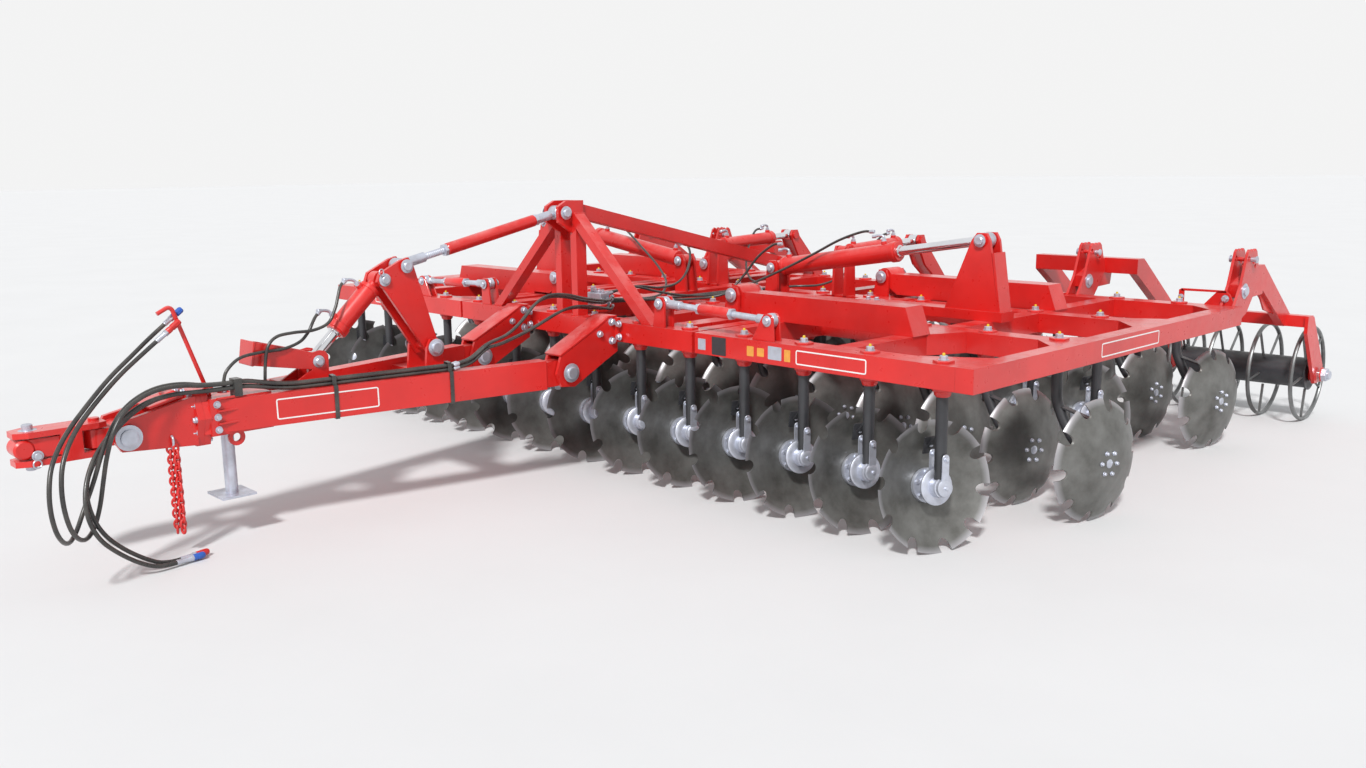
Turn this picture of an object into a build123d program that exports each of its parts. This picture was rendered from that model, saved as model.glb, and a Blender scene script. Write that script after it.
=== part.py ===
from build123d import *
from math import cos, hypot, pi, radians, sin, tan
import os

# A trailed disc harrow: four rows of dished discs under a frame of box beams in a
# centre and two folding wings, a cage roller behind each wing, and a drawbar whose
# lever and top link carry the pull to a tower on the frame.
# Millimetres. +Z up, -Y towards the tractor, +X the machine's left wing, z = 0 the ground.

# ---- driving dimensions ---------------------------------------------------
frame_front = -785          # y of the front beam's front face
frame_top = 950
beam_height = 120
front_beam_width = 160
beam_width = 140            # the other row beams, along y
row_offsets = [80, 1100, 2100, 3120]    # row beams' middles behind frame_front
half_width = 3030           # outer face of a wing's side beam
side_beam_width = 100
centre_half = 1178          # half width of the centre frame
fold_gap = 24               # between the centre frame and a wing
fold_x, fold_z = 900, 1090  # fold axis, along y
leg_pitch = 433
leg_radius = 30
disc_radius = 330
disc_depth = 90
disc_wall = 8
roller_radius = 350
tyre_radius, tyre_width = 400, 290
pin_play = 0.05             # radial clearance of a running pin
side_play = 8               # each side of an eye between its lugs

beam_bottom = frame_top - beam_height
wing_inner = centre_half + fold_gap
row_y = [frame_front + offset for offset in row_offsets]
row_half = [front_beam_width / 2] + [beam_width / 2] * 3
frame_rear = row_y[3] + row_half[3]

# ---- helpers --------------------------------------------------------------
nodes = {}


def add(name, *pieces):
    for piece in pieces:
        nodes.setdefault(name, []).extend(piece.solids())


def mirrored(piece):
    return mirror(piece, about=Plane.YZ)


def add_pair(name, *pieces):
    """Each piece and its mirror image, both in one node."""
    for piece in pieces:
        add(name, piece, mirrored(piece))


def add_sides(name, *pieces):
    """Each piece on the left wing and, mirrored, on the right wing."""
    for piece in pieces:
        add("left_" + name, piece)
        add("right_" + name, mirrored(piece))


def block(x0, x1, y0, y1, z0, z1):
    x0, x1 = min(x0, x1), max(x0, x1)
    y0, y1 = min(y0, y1), max(y0, y1)
    return Pos((x0 + x1) / 2, (y0 + y1) / 2, (z0 + z1) / 2) * Box(x1 - x0, y1 - y0, z1 - z0)


def round_bar(start, end, radius):
    start, end = Vector(*start), Vector(*end)
    low = (Align.CENTER, Align.CENTER, Align.MIN)
    return Plane(origin=start, z_dir=end - start) * Cylinder(radius, (end - start).length, align=low)


def sided_bar(start, end, radius, sides):
    """A bar of a regular section, corner to corner 2 x radius."""
    start, end = Vector(*start), Vector(*end)
    section = RegularPolygon(radius, sides)
    return extrude(Plane(origin=start, z_dir=end - start) * section, (end - start).length)


def box_bar(start, end, width, depth, up=(0, 0, 1)):
    """A box beam between two points: width across, depth in the plane of the beam and up."""
    start, end = Vector(*start), Vector(*end)
    along = end - start
    low = (Align.CENTER, Align.CENTER, Align.MIN)
    plane = Plane(origin=start, x_dir=Vector(*up).cross(along), z_dir=along)
    return plane * Box(width, depth, along.length, align=low)


def plate_x(outline, x0, x1, holes=()):
    """A plate facing x from its (y, z) outline; holes are (y, z, radius)."""
    face = make_face(Polyline(*outline, close=True))
    for y, z, radius in holes:
        face -= Pos(y, z) * Circle(radius)
    return extrude(Plane.YZ.offset(min(x0, x1)) * face, abs(x1 - x0))


def plate_y(outline, y0, y1, holes=()):
    """A plate facing y from its (x, z) outline; holes are (x, z, radius)."""
    face = make_face(Polyline(*outline, close=True))
    for x, z, radius in holes:
        face -= Pos(x, z) * Circle(radius)
    plane = Plane(origin=(0, max(y0, y1), 0), x_dir=(1, 0, 0), z_dir=(0, -1, 0))
    return extrude(plane * face, abs(y1 - y0))


def plate_z(outline, z0, z1):
    return extrude(Plane.XY.offset(z0) * make_face(Polyline(*outline, close=True)), z1 - z0)


def pin_x(x0, x1, y, z, radius):
    return round_bar((min(x0, x1), y, z), (max(x0, x1), y, z), radius)


def pin_y(y0, y1, x, z, radius):
    return round_bar((x, min(y0, y1), z), (x, max(y0, y1), z), radius)


def pin_z(z0, z1, x, y, radius):
    return round_bar((x, y, z0), (x, y, z1), radius)


# ---- frames ---------------------------------------------------------------
centre_long_x = [(400, 520), (830, 970), (centre_half - 100, centre_half)]
wing_long_x = [(wing_inner, wing_inner + 100), (2110, 2230), (half_width - side_beam_width, half_width)]
wing_bays = [(wing_long_x[0][1], wing_long_x[1][0]), (wing_long_x[1][1], wing_long_x[2][0])]
# corner plates in the windows between the wing's beams, flush with the beams
gussets = [
    # bay, row, side of the row, corner, reach along x, reach along y
    (1, 0, 1, "outer", 330, 190),
    (1, 1, -1, "outer", 150, 150),
    (1, 1, -1, "inner", 110, 230),
    (1, 1, 1, "outer", 180, 110),
    (1, 2, -1, "outer", 180, 200),
    (1, 2, 1, "outer", 200, 120),
    (1, 3, -1, "outer", 160, 140),
    (0, 0, 1, "inner", 200, 160),
    (0, 1, -1, "outer", 150, 150),
]


def build_frames():
    for y, half in zip(row_y, row_half):
        add("centre_row_beams", block(-centre_half, centre_half, y - half, y + half, beam_bottom, frame_top))
        for x0, x1 in wing_bays:
            add_sides("wing_row_beams", block(x0, x1, y - half, y + half, beam_bottom, frame_top))
    for i in range(3):
        y0, y1 = row_y[i] + row_half[i], row_y[i + 1] - row_half[i + 1]
        for x0, x1 in centre_long_x:
            add_pair("centre_long_beams", block(x0, x1, y0, y1, beam_bottom, frame_top))
    for x0, x1 in wing_long_x:
        add_sides("wing_long_beams", block(x0, x1, frame_front, frame_rear, beam_bottom, frame_top))
    for bay, row, side, corner, reach_x, reach_y in gussets:
        x = wing_bays[bay][1 if corner == "outer" else 0]
        x_in = x - reach_x if corner == "outer" else x + reach_x
        y = row_y[row] + side * row_half[row]
        add_sides("wing_gussets", plate_z([(x, y), (x_in, y), (x, y + side * reach_y)], beam_bottom, frame_top))


# ---- disc tools -----------------------------------------------------------
hub_radius = 55
hub_to_rim = 40             # hub's middle to the middle of the disc's rim, along the hub
rows = [
    # count, legs' shift, disc's side of the hub, yaw, rise of the hub's +x end, leg's bend
    (14, 0, -1, 20, 8, 0),
    (14, 50, 1, 10, 0, 200),
    (13, 0, -1, 20, 8, 0),
    (13, 50, 1, 10, 0, 200),
]


notches = 10                # round the disc's rim
notch_depth = 34
notch_half = 8              # half the angle of a notch, degrees
disc_flat = 100             # middle of the disc, where the hub bolts on


def disc_point(radius, turn, height):
    return Vector(radius * cos(turn), radius * sin(turn), height)


def notched_disc():
    """A disc about +Z: its bulge at z = 0, its notched rim at z = disc_depth."""
    pitch, half = 2 * pi / notches, radians(notch_half)
    notch_height = disc_depth * (disc_radius - notch_depth - disc_flat) / (disc_radius - disc_flat)
    flat = [disc_point(disc_flat, i * pitch, 0) for i in range(notches)]
    lobe_start = [disc_point(disc_radius, i * pitch - pitch / 2 + half, disc_depth) for i in range(notches)]
    lobe_end = [disc_point(disc_radius, i * pitch + pitch / 2 - half, disc_depth) for i in range(notches)]
    notch = [disc_point(disc_radius - notch_depth, i * pitch + pitch / 2, notch_height) for i in range(notches)]
    wall = Vector(0, 0, disc_wall)
    outlines = [flat, [point + wall for point in flat]]
    for i in range(notches):
        j = (i + 1) % notches
        fan = [(flat[i], lobe_start[i], lobe_end[i]), (flat[i], lobe_end[i], notch[i]),
               (flat[i], notch[i], flat[j]), (flat[j], notch[i], lobe_start[j])]
        outlines += fan + [[point + wall for point in three] for three in fan]
        for start, end in ((lobe_start[i], lobe_end[i]), (lobe_end[i], notch[i]), (notch[i], lobe_start[j])):
            outlines.append((start, end, end + wall, start + wall))
    return Solid(Shell([Face(Wire.make_polygon(outline)) for outline in outlines]))


def build_tools():
    disc = notched_disc()
    for row, (count, shift, side, yaw, rise, bend) in enumerate(rows):
        yaw, rise = radians(yaw), radians(rise)
        axis = Vector(cos(yaw) * cos(rise), -sin(yaw) * cos(rise), sin(rise)) * side
        hub_z = disc_radius * cos(rise) - axis.Z * hub_to_rim
        hub = Vector(bend, row_y[row], hub_z)
        vertex = hub + axis * (hub_to_rim + disc_depth)
        tail = hub - axis * 45
        face = vertex - axis * disc_wall
        if bend:
            knees = [(0, row_y[row], beam_bottom), (0, row_y[row], hub_z + 330),
                     (bend * 0.45, row_y[row], hub_z + 130), (bend, row_y[row], hub_z)]
            section = Plane(origin=knees[0], z_dir=(0, 0, -1)) * RegularPolygon(leg_radius, 8)
            leg = sweep(section, path=Polyline(*knees), transition=Transition.RIGHT)
        else:
            leg = sided_bar((0, row_y[row], beam_bottom), (0, row_y[row], hub_z), leg_radius, 8)
        leg += sided_bar((tail.X, tail.Y, tail.Z), (face.X, face.Y, face.Z), hub_radius, 8)
        placed = Plane(origin=vertex, z_dir=axis * -1) * disc
        for i in range(count):
            x = (i - (count - 1) / 2) * leg_pitch + shift
            owner = "centre" if abs(x) < centre_half else "left_wing" if x > 0 else "right_wing"
            add(owner + "_legs", Pos(x, 0, 0) * leg)
            add(owner + "_discs", Pos(x, 0, 0) * placed)


# ---- fold: arms, lugs, cylinders, turnbuckles -----------------------------
arm_y = [frame_front + 740, frame_front + 2300]
arm_width = 160
arm_top = frame_top + 160
arm_reach = 2180
boss_radius = 60
fold_pin = 25
lug_wall = 20
fold_y = frame_front + 1550
fold_base = (470, 1180)     # barrel pin, x and z
fold_tip = (2130, 1430)     # rod pin, x and z
turn_y = frame_front + 50
turn_tip = (1740, 1060)


def lug_outline(x, z, base, half, top=frame_top):
    """A lug in a plane: straight sides up to the pin and a blunt head round it."""
    return [(x - base, top), (x + half, top), (x + half, z), (x + half * 0.6, z + half),
            (x - half * 0.6, z + half), (x - half, z)]


def build_fold_arms():
    for y in arm_y:
        half = arm_width / 2
        arm = plate_y([(fold_x, frame_top + 90), (fold_x + 110, frame_top + 15), (wing_inner, frame_top + 15),
                       (wing_inner, frame_top), (arm_reach + 60, frame_top), (arm_reach, arm_top),
                       (fold_x, arm_top)], y - half, y + half)
        arm += pin_y(y - half, y + half, fold_x, fold_z, boss_radius)
        arm -= pin_y(y - half, y + half, fold_x, fold_z, fold_pin + pin_play)
        add_sides("fold_arms", arm)
        low, high = y - half - side_play, y + half + side_play
        lugs = pin_y(low - lug_wall - 15, high + lug_wall + 15, fold_x, fold_z, fold_pin)
        for y0, y1 in ((low - lug_wall, low), (high, high + lug_wall)):
            lugs += plate_y(lug_outline(fold_x, fold_z, 80, 50), y0, y1)
        add_pair("hinge_lugs", lugs)
    # box that carries the rod's bracket, and the bracket
    x, z = fold_tip
    deck = frame_top + 60
    add_sides("fold_bracket", block(wing_inner, x + 160, fold_y - 70, fold_y + 70, frame_top, deck))
    gap = 35 + side_play
    for side in (-1, 1):
        cheek = plate_y([(x - 240, deck), (x + 130, deck), (x + 60, z), (x + 35, z + 45), (x - 30, z + 45),
                         (x - 65, z)], fold_y + side * gap, fold_y + side * (gap + lug_wall))
        cheek += pin_y(fold_y + side * (gap + lug_wall), fold_y + side * (gap + lug_wall + 15), x, z, 35)
        add_sides("fold_bracket", cheek)
    add_sides("fold_bracket", plate_y([(x + 130, deck), (x + 145, deck), (x + 90, z - 70), (x + 75, z - 70)],
                                      fold_y - gap - lug_wall, fold_y + gap + lug_wall))


def cylinder_pair(barrel_node, rod_node, base, tip, plane_at, sizes, share, base_pin, engaged, bore_start=130):
    """A hydraulic cylinder from base to tip, both (u, z); plane_at maps (u, z) into space.

    sizes are the barrel's and the rod's radius; share is the barrel's part of the length,
    engaged the length of rod inside it at rest, and bore_start where its bore begins.
    """
    barrel_radius, rod_radius = sizes
    length = hypot(tip[0] - base[0], tip[1] - base[1])
    step = ((tip[0] - base[0]) / length, (tip[1] - base[1]) / length)

    def at(distance):
        return plane_at(base[0] + step[0] * distance, base[1] + step[1] * distance, 0)

    def across(point, radius, half):
        return round_bar(plane_at(*point, -half), plane_at(*point, half), radius)

    mouth = length * share
    barrel = round_bar(at(70), at(mouth), barrel_radius) + round_bar(at(0), at(75), 32)
    barrel += across(base, 45, 35)
    barrel -= round_bar(at(bore_start), at(mouth + 5), rod_radius + pin_play)
    barrel -= across(base, base_pin + pin_play, 40)
    rod = round_bar(at(mouth - engaged), at(length - 20), rod_radius) + across(tip, 45, 35)
    add(barrel_node, barrel)
    add(rod_node, rod)


def build_fold_cylinders():
    for name, side in (("left", 1), ("right", -1)):
        cylinder_pair(name + "_fold_barrel", name + "_fold_rod", fold_base, fold_tip,
                      lambda u, z, v: (side * u, fold_y + v, z), (60, 30), 0.62, 20, 360)
    x, z = fold_base
    gap = 35 + side_play
    lugs = pin_y(fold_y - gap - 35, fold_y + gap + 35, x, z, 20)
    for y0, y1 in ((fold_y - gap - lug_wall, fold_y - gap), (fold_y + gap, fold_y + gap + lug_wall)):
        lugs += plate_y(lug_outline(x, z, 70, 50), y0, y1)
    add_pair("hinge_lugs", lugs)


def build_turnbuckles():
    x, z = turn_tip
    run, rise = x - fold_x, z - fold_z

    def at(share):
        return (fold_x + run * share, turn_y, fold_z + rise * share)

    link = round_bar(at(0.03), at(0.34), 18) + round_bar(at(0.66), at(0.97), 18)
    link += sided_bar(at(0.32), at(0.68), 30, 8)
    link += pin_y(turn_y - 20, turn_y + 20, fold_x, fold_z, 40) + pin_y(turn_y - 20, turn_y + 20, x, z, 40)
    link -= pin_y(turn_y - 25, turn_y + 25, fold_x, fold_z, 18 + pin_play)
    add_sides("turnbuckle", link)
    gap = 20 + side_play
    lugs = pin_y(turn_y - gap - 20, turn_y + gap + 20, fold_x, fold_z, 18)
    for side in (-1, 1):
        lugs += plate_y(lug_outline(fold_x, fold_z, 60, 40), turn_y + side * gap, turn_y + side * (gap + 12))
        cheek = plate_y([(x - 110, frame_top), (x + 50, frame_top), (x + 40, z + 15), (x, z + 40), (x - 40, z + 15)],
                        turn_y + side * 20, turn_y + side * 32)
        add_sides("turnbuckle", cheek)
    add_pair("hinge_lugs", lugs)


# ---- rollers --------------------------------------------------------------
roller_y = frame_front + 4450
roller_x = (1420, half_width + 50)
roller_core = 110
hanger_x = [1375, 2120, half_width + 95]    # end plates with the roller's bearings
hanger_wall = 24
roller_spokes = 4
rings_per_section = [3, 4]
arm_pivot = (frame_front + 3290, 1040)
arm_knee = (frame_front + 4190, 760)
roller_arm_x = [1870, half_width - 80]
roller_beam = (frame_front + 3560, frame_front + 3660, 1080, 1190)


depth_hole_angles = [46, 58, 70, 82, 94]    # holes that set the roller's depth, round the arm's pivot
depth_hole_reach = 215
depth_hole_radius = 15
depth_pin_hole = 2
scallops = 3                # waves along a bracket's top edge
scallop_rise = 9


def scalloped_top(start, end, height):
    """Points of a wavy top edge from start to end."""
    count = scallops * 4
    return [(start + (end - start) * i / count, height - scallop_rise * cos(2 * pi * i / 4))
            for i in range(count + 1)]


def build_rollers():
    x0, x1 = roller_x
    roller = pin_x(hanger_x[0] - 30, hanger_x[2] + 30, roller_y, roller_radius, 30)
    sections = [(x0, hanger_x[1] - 45), (hanger_x[1] + 45, x1)]
    for (start, end), count in zip(sections, rings_per_section):
        roller += sided_bar((start, roller_y, roller_radius), (end, roller_y, roller_radius), roller_core, 12)
        for i in range(count):
            x = start + 20 + i * (end - start - 40) / (count - 1)
            ring = sided_bar((x - 12, roller_y, roller_radius), (x + 12, roller_y, roller_radius), roller_radius, 16)
            ring -= sided_bar((x - 12, roller_y, roller_radius), (x + 12, roller_y, roller_radius),
                              roller_radius - 26, 16)
            roller += ring
            for k in range(roller_spokes):
                turn = radians(45 + 360 / roller_spokes * k)
                inner, outer = roller_core - 8, roller_radius - 14
                roller += box_bar((x, roller_y + cos(turn) * inner, roller_radius + sin(turn) * inner),
                                  (x, roller_y + cos(turn) * outer, roller_radius + sin(turn) * outer),
                                  24, 12, up=(1, 0, 0))
    add_sides("roller", roller)
    # the frame that hangs the roller: a beam behind the brackets, arms down from it, hangers
    py, pz = arm_pivot
    ky, kz = arm_knee
    y0, y1, z0, z1 = roller_beam
    frame = block(hanger_x[0] - 30, hanger_x[1] + 30, y0, y1, z0, z1)
    frame += block(hanger_x[1] - 30, hanger_x[2] + hanger_wall / 2, ky - 40, ky + 40, kz - 40, kz + 40)
    for x in hanger_x:
        half = hanger_wall / 2
        frame += plate_x([(ky - 60, kz + 40), (ky + 60, kz + 30), (roller_y + 70, roller_radius + 60),
                          (roller_y + 70, roller_radius - 60), (roller_y - 70, roller_radius - 60),
                          (ky - 60, kz - 80)], x - half, x + half)
        frame -= pin_x(x - 20, x + 20, roller_y, roller_radius, 30 + pin_play)
    for x in roller_arm_x:
        frame += plate_x([(py - 50, pz - 40), (py - 50, pz + 40), (y0, z1), (y1, z1), (y1 + 20, z0),
                          (y1, z0 - 90), (py + 60, pz - 60)], x - 30, x + 30)
    for x in (hanger_x[0], hanger_x[1], roller_arm_x[1]):
        frame += plate_x([(y0, z0), (y0, z1), (y1, z1), (ky + 40, kz + 40), (ky + 40, kz - 40),
                          (ky - 60, kz - 40)], x - 30, x + 30)
    add_sides("roller_arms", frame)
    for x in roller_arm_x:
        for side in (-1, 1):
            low, high = x + side * 30, x + side * 48
            cheek = plate_x([(py - 150, frame_top), (frame_rear, frame_top), (frame_rear, beam_bottom),
                             (py + 60, beam_bottom + 60), (py + 250, pz + 60)] + scalloped_top(py + 170, py + 20, pz + 260)
                            + [(py - 60, pz + 40)], low, high)
            for angle in depth_hole_angles:
                y, z = py + cos(radians(angle)) * depth_hole_reach, pz + sin(radians(angle)) * depth_hole_reach
                cheek -= sided_bar((low - side * 5, y, z), (high + side * 5, y, z), depth_hole_radius, 8)
            add_sides("roller_brackets", cheek)
        angle = radians(depth_hole_angles[depth_pin_hole])
        y, z = py + cos(angle) * depth_hole_reach, pz + sin(angle) * depth_hole_reach
        add_sides("roller_brackets", sided_bar((x - 75, y, z), (x + 75, y, z), depth_hole_radius - 0.2, 8))


# ---- tower ----------------------------------------------------------------
head_y, head_z = frame_front - 31, 1605
head_pin = 25
eye_half = 40               # half width of the top link's and the ram's eyes


def build_tower():
    back = frame_front + 110
    gap = eye_half + side_play
    tower = None
    for side in (-1, 1):
        cheek = plate_x([(head_y - 45, head_z - 60), (back, head_z - 180), (back, head_z + 75),
                         (head_y + 20, head_z + 75), (head_y - 45, head_z + 40)], side * gap, side * (gap + 25))
        brace = box_bar((side * 790, frame_front + 60, frame_top - 20), (side * 80, frame_front + 60, head_z - 20),
                        60, 80, up=(0, 1, 0))
        post = block(side * 50, side * 110, frame_front + 30, frame_front + 110, frame_top, head_z)
        tower = cheek + brace + post if tower is None else tower + cheek + brace + post
    tower += block(-gap - 25, gap + 25, back - 25, back + 15, head_z - 180, head_z + 75)
    tower += box_bar((0, back, head_z + 10), (0, row_y[2], frame_top + 200), 90, 90)
    tower += block(-60, 60, row_y[2] - 60, row_y[2] + 60, frame_top, frame_top + 250)
    tower += pin_x(-gap - 45, gap + 45, head_y, head_z, head_pin)
    tower -= block(-1000, 1000, frame_front - 100, frame_rear, 0, frame_top)
    add("tower", tower)


# ---- drawbar and hitch ----------------------------------------------------
bar_x = 450
bar_pivot = (frame_front - 380, 685)
bar_pin = 30
bar_z = 670
flange_y = frame_front - 2400
lever_pivot = (frame_front - 1037, 871)
lever_top = (frame_front - 1179, 1348)
lever_ram = (frame_front - 1315, 1280)
ram_foot = (frame_front - 1741, 873)
hitch_y, hitch_z = frame_front - 2763, 637
yaw_y = hitch_y - 105
yoke_front = frame_front - 3230
jack_x, jack_y = 0, frame_front - 2235
jack_foot_z = 220           # parked with its foot lifted off the ground
jack_radius = 32


def lug_x(y, z, base, half, x0, x1, foot):
    """A lug facing x that stands on foot and carries a pin at (y, z)."""
    return plate_x([(y - base, foot), (y + base, foot), (y + half, z), (y + half * 0.5, z + half),
                    (y - half * 0.5, z + half), (y - half, z)], x0, x1)


def build_drawbar():
    py, pz = bar_pivot
    bar = None
    for side in (-1, 1):
        stub = block(side * bar_x - 45, side * bar_x + 45, py - 160, py, pz - 75, pz + 75)
        stub += pin_x(side * bar_x - 45, side * bar_x + 45, py, pz, 75)
        beam = box_bar((side * bar_x, py - 140, pz), (side * 85, flange_y + 10, bar_z), 100, 170)
        bar = stub + beam if bar is None else bar + stub + beam
    bar += block(-290, 290, lever_pivot[0] - 60, lever_pivot[0] + 60, bar_z - 60, bar_z + 60)
    bar += block(-160, 160, ram_foot[0] - 60, ram_foot[0] + 60, bar_z - 60, bar_z + 60)
    bar += plate_y([(-110, bar_z - 140), (110, bar_z - 140), (160, bar_z), (110, bar_z + 140), (-110, bar_z + 140),
                    (-160, bar_z)], flange_y, flange_y + 35)
    bar += block(-155, 155, flange_y + 30, flange_y + 350, bar_z - 95, bar_z + 95)
    bar -= pin_z(bar_z - 200, bar_z + 200, jack_x, jack_y, jack_radius + pin_play)
    for side in (-1, 1):
        bar += lug_x(*lever_pivot, 70, 50, side * 88, side * 108, bar_z)
        bar += lug_x(*ram_foot, 70, 50, side * 45, side * 65, bar_z)
        bar += pin_x(side * 65, side * 80, *ram_foot, 30)
        bar -= pin_x(side * bar_x - 50, side * bar_x + 50, py, pz, bar_pin + pin_play)
    bar += pin_x(-125, 125, *lever_pivot, 25)
    add("drawbar", bar)
    gap = 45 + side_play
    for side in (-1, 1):
        bracket = pin_x(side * bar_x - 90, side * bar_x + 90, py, pz, bar_pin)
        for x0 in (side * bar_x - gap - 20, side * bar_x + gap):
            bracket += plate_x([(frame_front, beam_bottom - 60), (frame_front, frame_top + 30),
                                (frame_front - 60, frame_top + 30), (frame_front - 150, frame_top - 20),
                                (py - 60, pz + 100), (py - 95, pz), (py - 60, pz - 80), (py + 40, pz - 90),
                                (frame_front - 100, beam_bottom - 110)], x0, x0 + 20)
        bracket += block(side * bar_x - gap - 50, side * bar_x + gap + 50, frame_front - 20, frame_front,
                         beam_bottom, frame_top + 30)
        add("drawbar_brackets", bracket)


def build_hitch():
    head = plate_y([(-110, bar_z - 140), (110, bar_z - 140), (160, bar_z), (110, bar_z + 140), (-110, bar_z + 140),
                    (-160, bar_z)], flange_y - 35, flange_y)
    for side in (-1, 1):
        head += plate_x([(flange_y - 30, bar_z - 130), (flange_y - 30, bar_z + 120), (hitch_y - 30, hitch_z + 75),
                         (hitch_y - 70, hitch_z), (hitch_y - 30, hitch_z - 70)], side * 100, side * 130)
    head += pin_x(-150, 150, hitch_y, hitch_z, 35)
    add("drawbar_head", head)
    cross = pin_x(-92, 92, hitch_y, hitch_z, 60)
    cross += block(-55, 55, yaw_y, hitch_y, hitch_z - 45, hitch_z + 45)
    cross += pin_z(hitch_z - 45, hitch_z + 45, 0, yaw_y, 55)
    cross -= pin_x(-95, 95, hitch_y, hitch_z, 35 + pin_play)
    cross -= pin_z(hitch_z - 50, hitch_z + 50, 0, yaw_y, 25 + pin_play)
    add("hitch_cross", cross)
    yoke = pin_z(hitch_z - 95, hitch_z + 95, 0, yaw_y, 25)
    for side in (-1, 1):
        z0 = hitch_z + side * (45 + side_play)
        z1 = z0 + side * 28
        yoke += plate_z([(-55, yaw_y + 40), (55, yaw_y + 40), (75, yaw_y), (75, yoke_front + 60), (45, yoke_front),
                         (-45, yoke_front), (-75, yoke_front + 60), (-75, yaw_y)], min(z0, z1), max(z0, z1))
    yoke += block(-75, 75, yaw_y - 170, yaw_y - 75, hitch_z - 60, hitch_z + 60)
    yoke -= pin_z(hitch_z - 120, hitch_z + 120, 0, yoke_front + 75, 26)
    add("hitch_yoke", yoke)


def build_lever():
    lever = pin_x(-56, 56, *lever_ram, 22)
    for side in (-1, 1):
        y, z = lever_pivot
        lever += plate_x([(y - 50, z), (y - 20, z - 48), (y + 20, z - 48), (y + 50, z), (lever_top[0] + 50, lever_top[1]),
                          (lever_top[0] + 20, lever_top[1] + 48), (lever_top[0] - 30, lever_top[1] + 35),
                          (lever_ram[0] - 30, lever_ram[1] + 35), (lever_ram[0] - 48, lever_ram[1] - 10),
                          (lever_ram[0] - 10, lever_ram[1] - 48)], side * 54, side * 78,
                         [(y, z, 25 + pin_play)])
        lever += pin_x(side * 78, side * 92, *lever_top, 32)
    y, z = (lever_pivot[0] + lever_top[0]) / 2, (lever_pivot[1] + lever_top[1]) / 2
    lever += block(-56, 56, y - 20, y + 20, z - 70, z + 30)
    add("lever", lever)
    link = round_bar((0, head_y, head_z), (0, *lever_top), 26)
    link += pin_x(-eye_half, eye_half, head_y, head_z, 45) + pin_x(-eye_half, eye_half, *lever_top, 42)
    link -= pin_x(-eye_half - 5, eye_half + 5, head_y, head_z, head_pin + pin_play)
    add("top_link", link)
    cylinder_pair("ram_barrel", "ram_rod", lever_ram, ram_foot, lambda u, z, v: (v, u, z), (55, 30), 0.66, 22, 155, 85)


def build_jack():
    foot = block(jack_x - 100, jack_x + 100, jack_y - 90, jack_y + 90, jack_foot_z, jack_foot_z + 12)
    add("jack_leg", pin_z(jack_foot_z + 10, bar_z + 85, jack_x, jack_y, jack_radius) + foot)


holder_foot = (60, frame_front - 2330, bar_z + 95)
holder_top = (60, frame_front - 2482, 1240)
holder_tip = (60, frame_front - 2550, 1205)
holder_radius = 11

hose_radius = 10.5
hose_clamp_y = frame_front - 2245
hose_lanes = (130, 152)             # the hoses lie side by side and in two decks
hose_decks = (bar_z + 138, bar_z + 164)
bundle_pitch = 22
bundle_start, bundle_end = frame_front - 1975, frame_front - 1065   # on the drawbar's beam, along y
coupler_radius, crimp_radius = 17, 13
# what each free hose passes, from the clamp on the drawbar to its coupler
free_hoses = {
    "free_hose_1": [(130, -3030, 834), (130, -3155, 834), (136, -3285, 866), (162, -3430, 862),
        (204, -3569, 804), (242, -3657, 709), (261, -3714, 598), (252, -3754, 478), (255, -3806, 367),
        (315, -3869, 272), (412, -3933, 253), (515, -3995, 328), (549, -4021, 437), (540, -4017, 545),
        (495, -3983, 654), (413, -3889, 762), (310, -3758, 858), (180, -3616, 945), (95, -3477, 1024),
        (32, -3373, 1087), (32, -3291, 1150)],
    "free_hose_2": [(152, -3030, 834), (152, -3155, 834), (166, -3305, 862), (213, -3455, 856),
        (255, -3581, 804), (283, -3656, 711), (286, -3697, 595), (259, -3715, 474), (250, -3738, 351),
        (308, -3793, 263), (396, -3862, 249), (490, -3929, 321), (529, -3961, 428), (527, -3965, 541),
        (494, -3939, 655), (432, -3862, 765), (285, -3722, 850), (180, -3579, 942), (88, -3445, 1010),
        (88, -3355, 1078)],
    "free_hose_3": [(152, -3030, 808), (152, -3155, 808), (156, -3320, 822), (164, -3450, 806),
        (182, -3568, 752), (204, -3663, 667), (244, -3746, 583), (301, -3807, 478), (347, -3828, 359),
        (371, -3795, 239), (366, -3705, 143), (341, -3600, 62), (325, -3515, 24), (309, -3437, 24)],
    "free_hose_4": [(130, -3030, 808), (130, -3155, 808), (130, -3315, 815), (133, -3445, 792),
        (153, -3562, 728), (181, -3655, 642), (208, -3735, 558), (262, -3795, 468), (319, -3803, 357),
        (339, -3763, 248), (331, -3682, 158), (308, -3582, 78), (288, -3488, 24), (272, -3405, 24)],
}
# length of the crimp and of the whole coupler; the last two lie on the ground
couplers = {"free_hose_1": (45, 110), "free_hose_2": (60, 155), "free_hose_3": (95, 160), "free_hose_4": (150, 250)}


def build_hose_holder():
    path = FilletPolyline(holder_foot, holder_top, holder_tip, radius=22)
    holder = sweep(Plane(origin=path @ 0, z_dir=path % 0) * RegularPolygon(holder_radius, 8), path=path)
    x, y, z = holder_foot
    add("hose_holder", holder - block(x - 50, x + 50, y - 50, y + 50, z - 50, z))


def corner_radii(points):
    """For each corner the largest arc that its two runs allow."""
    points = [Vector(*point) for point in points]
    radii = []
    for before, corner, after in zip(points, points[1:], points[2:]):
        turn = radians((corner - before).get_angle(after - corner))
        radii.append(0.45 * min((corner - before).length, (after - corner).length) / tan(turn / 2))
    return radii


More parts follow.
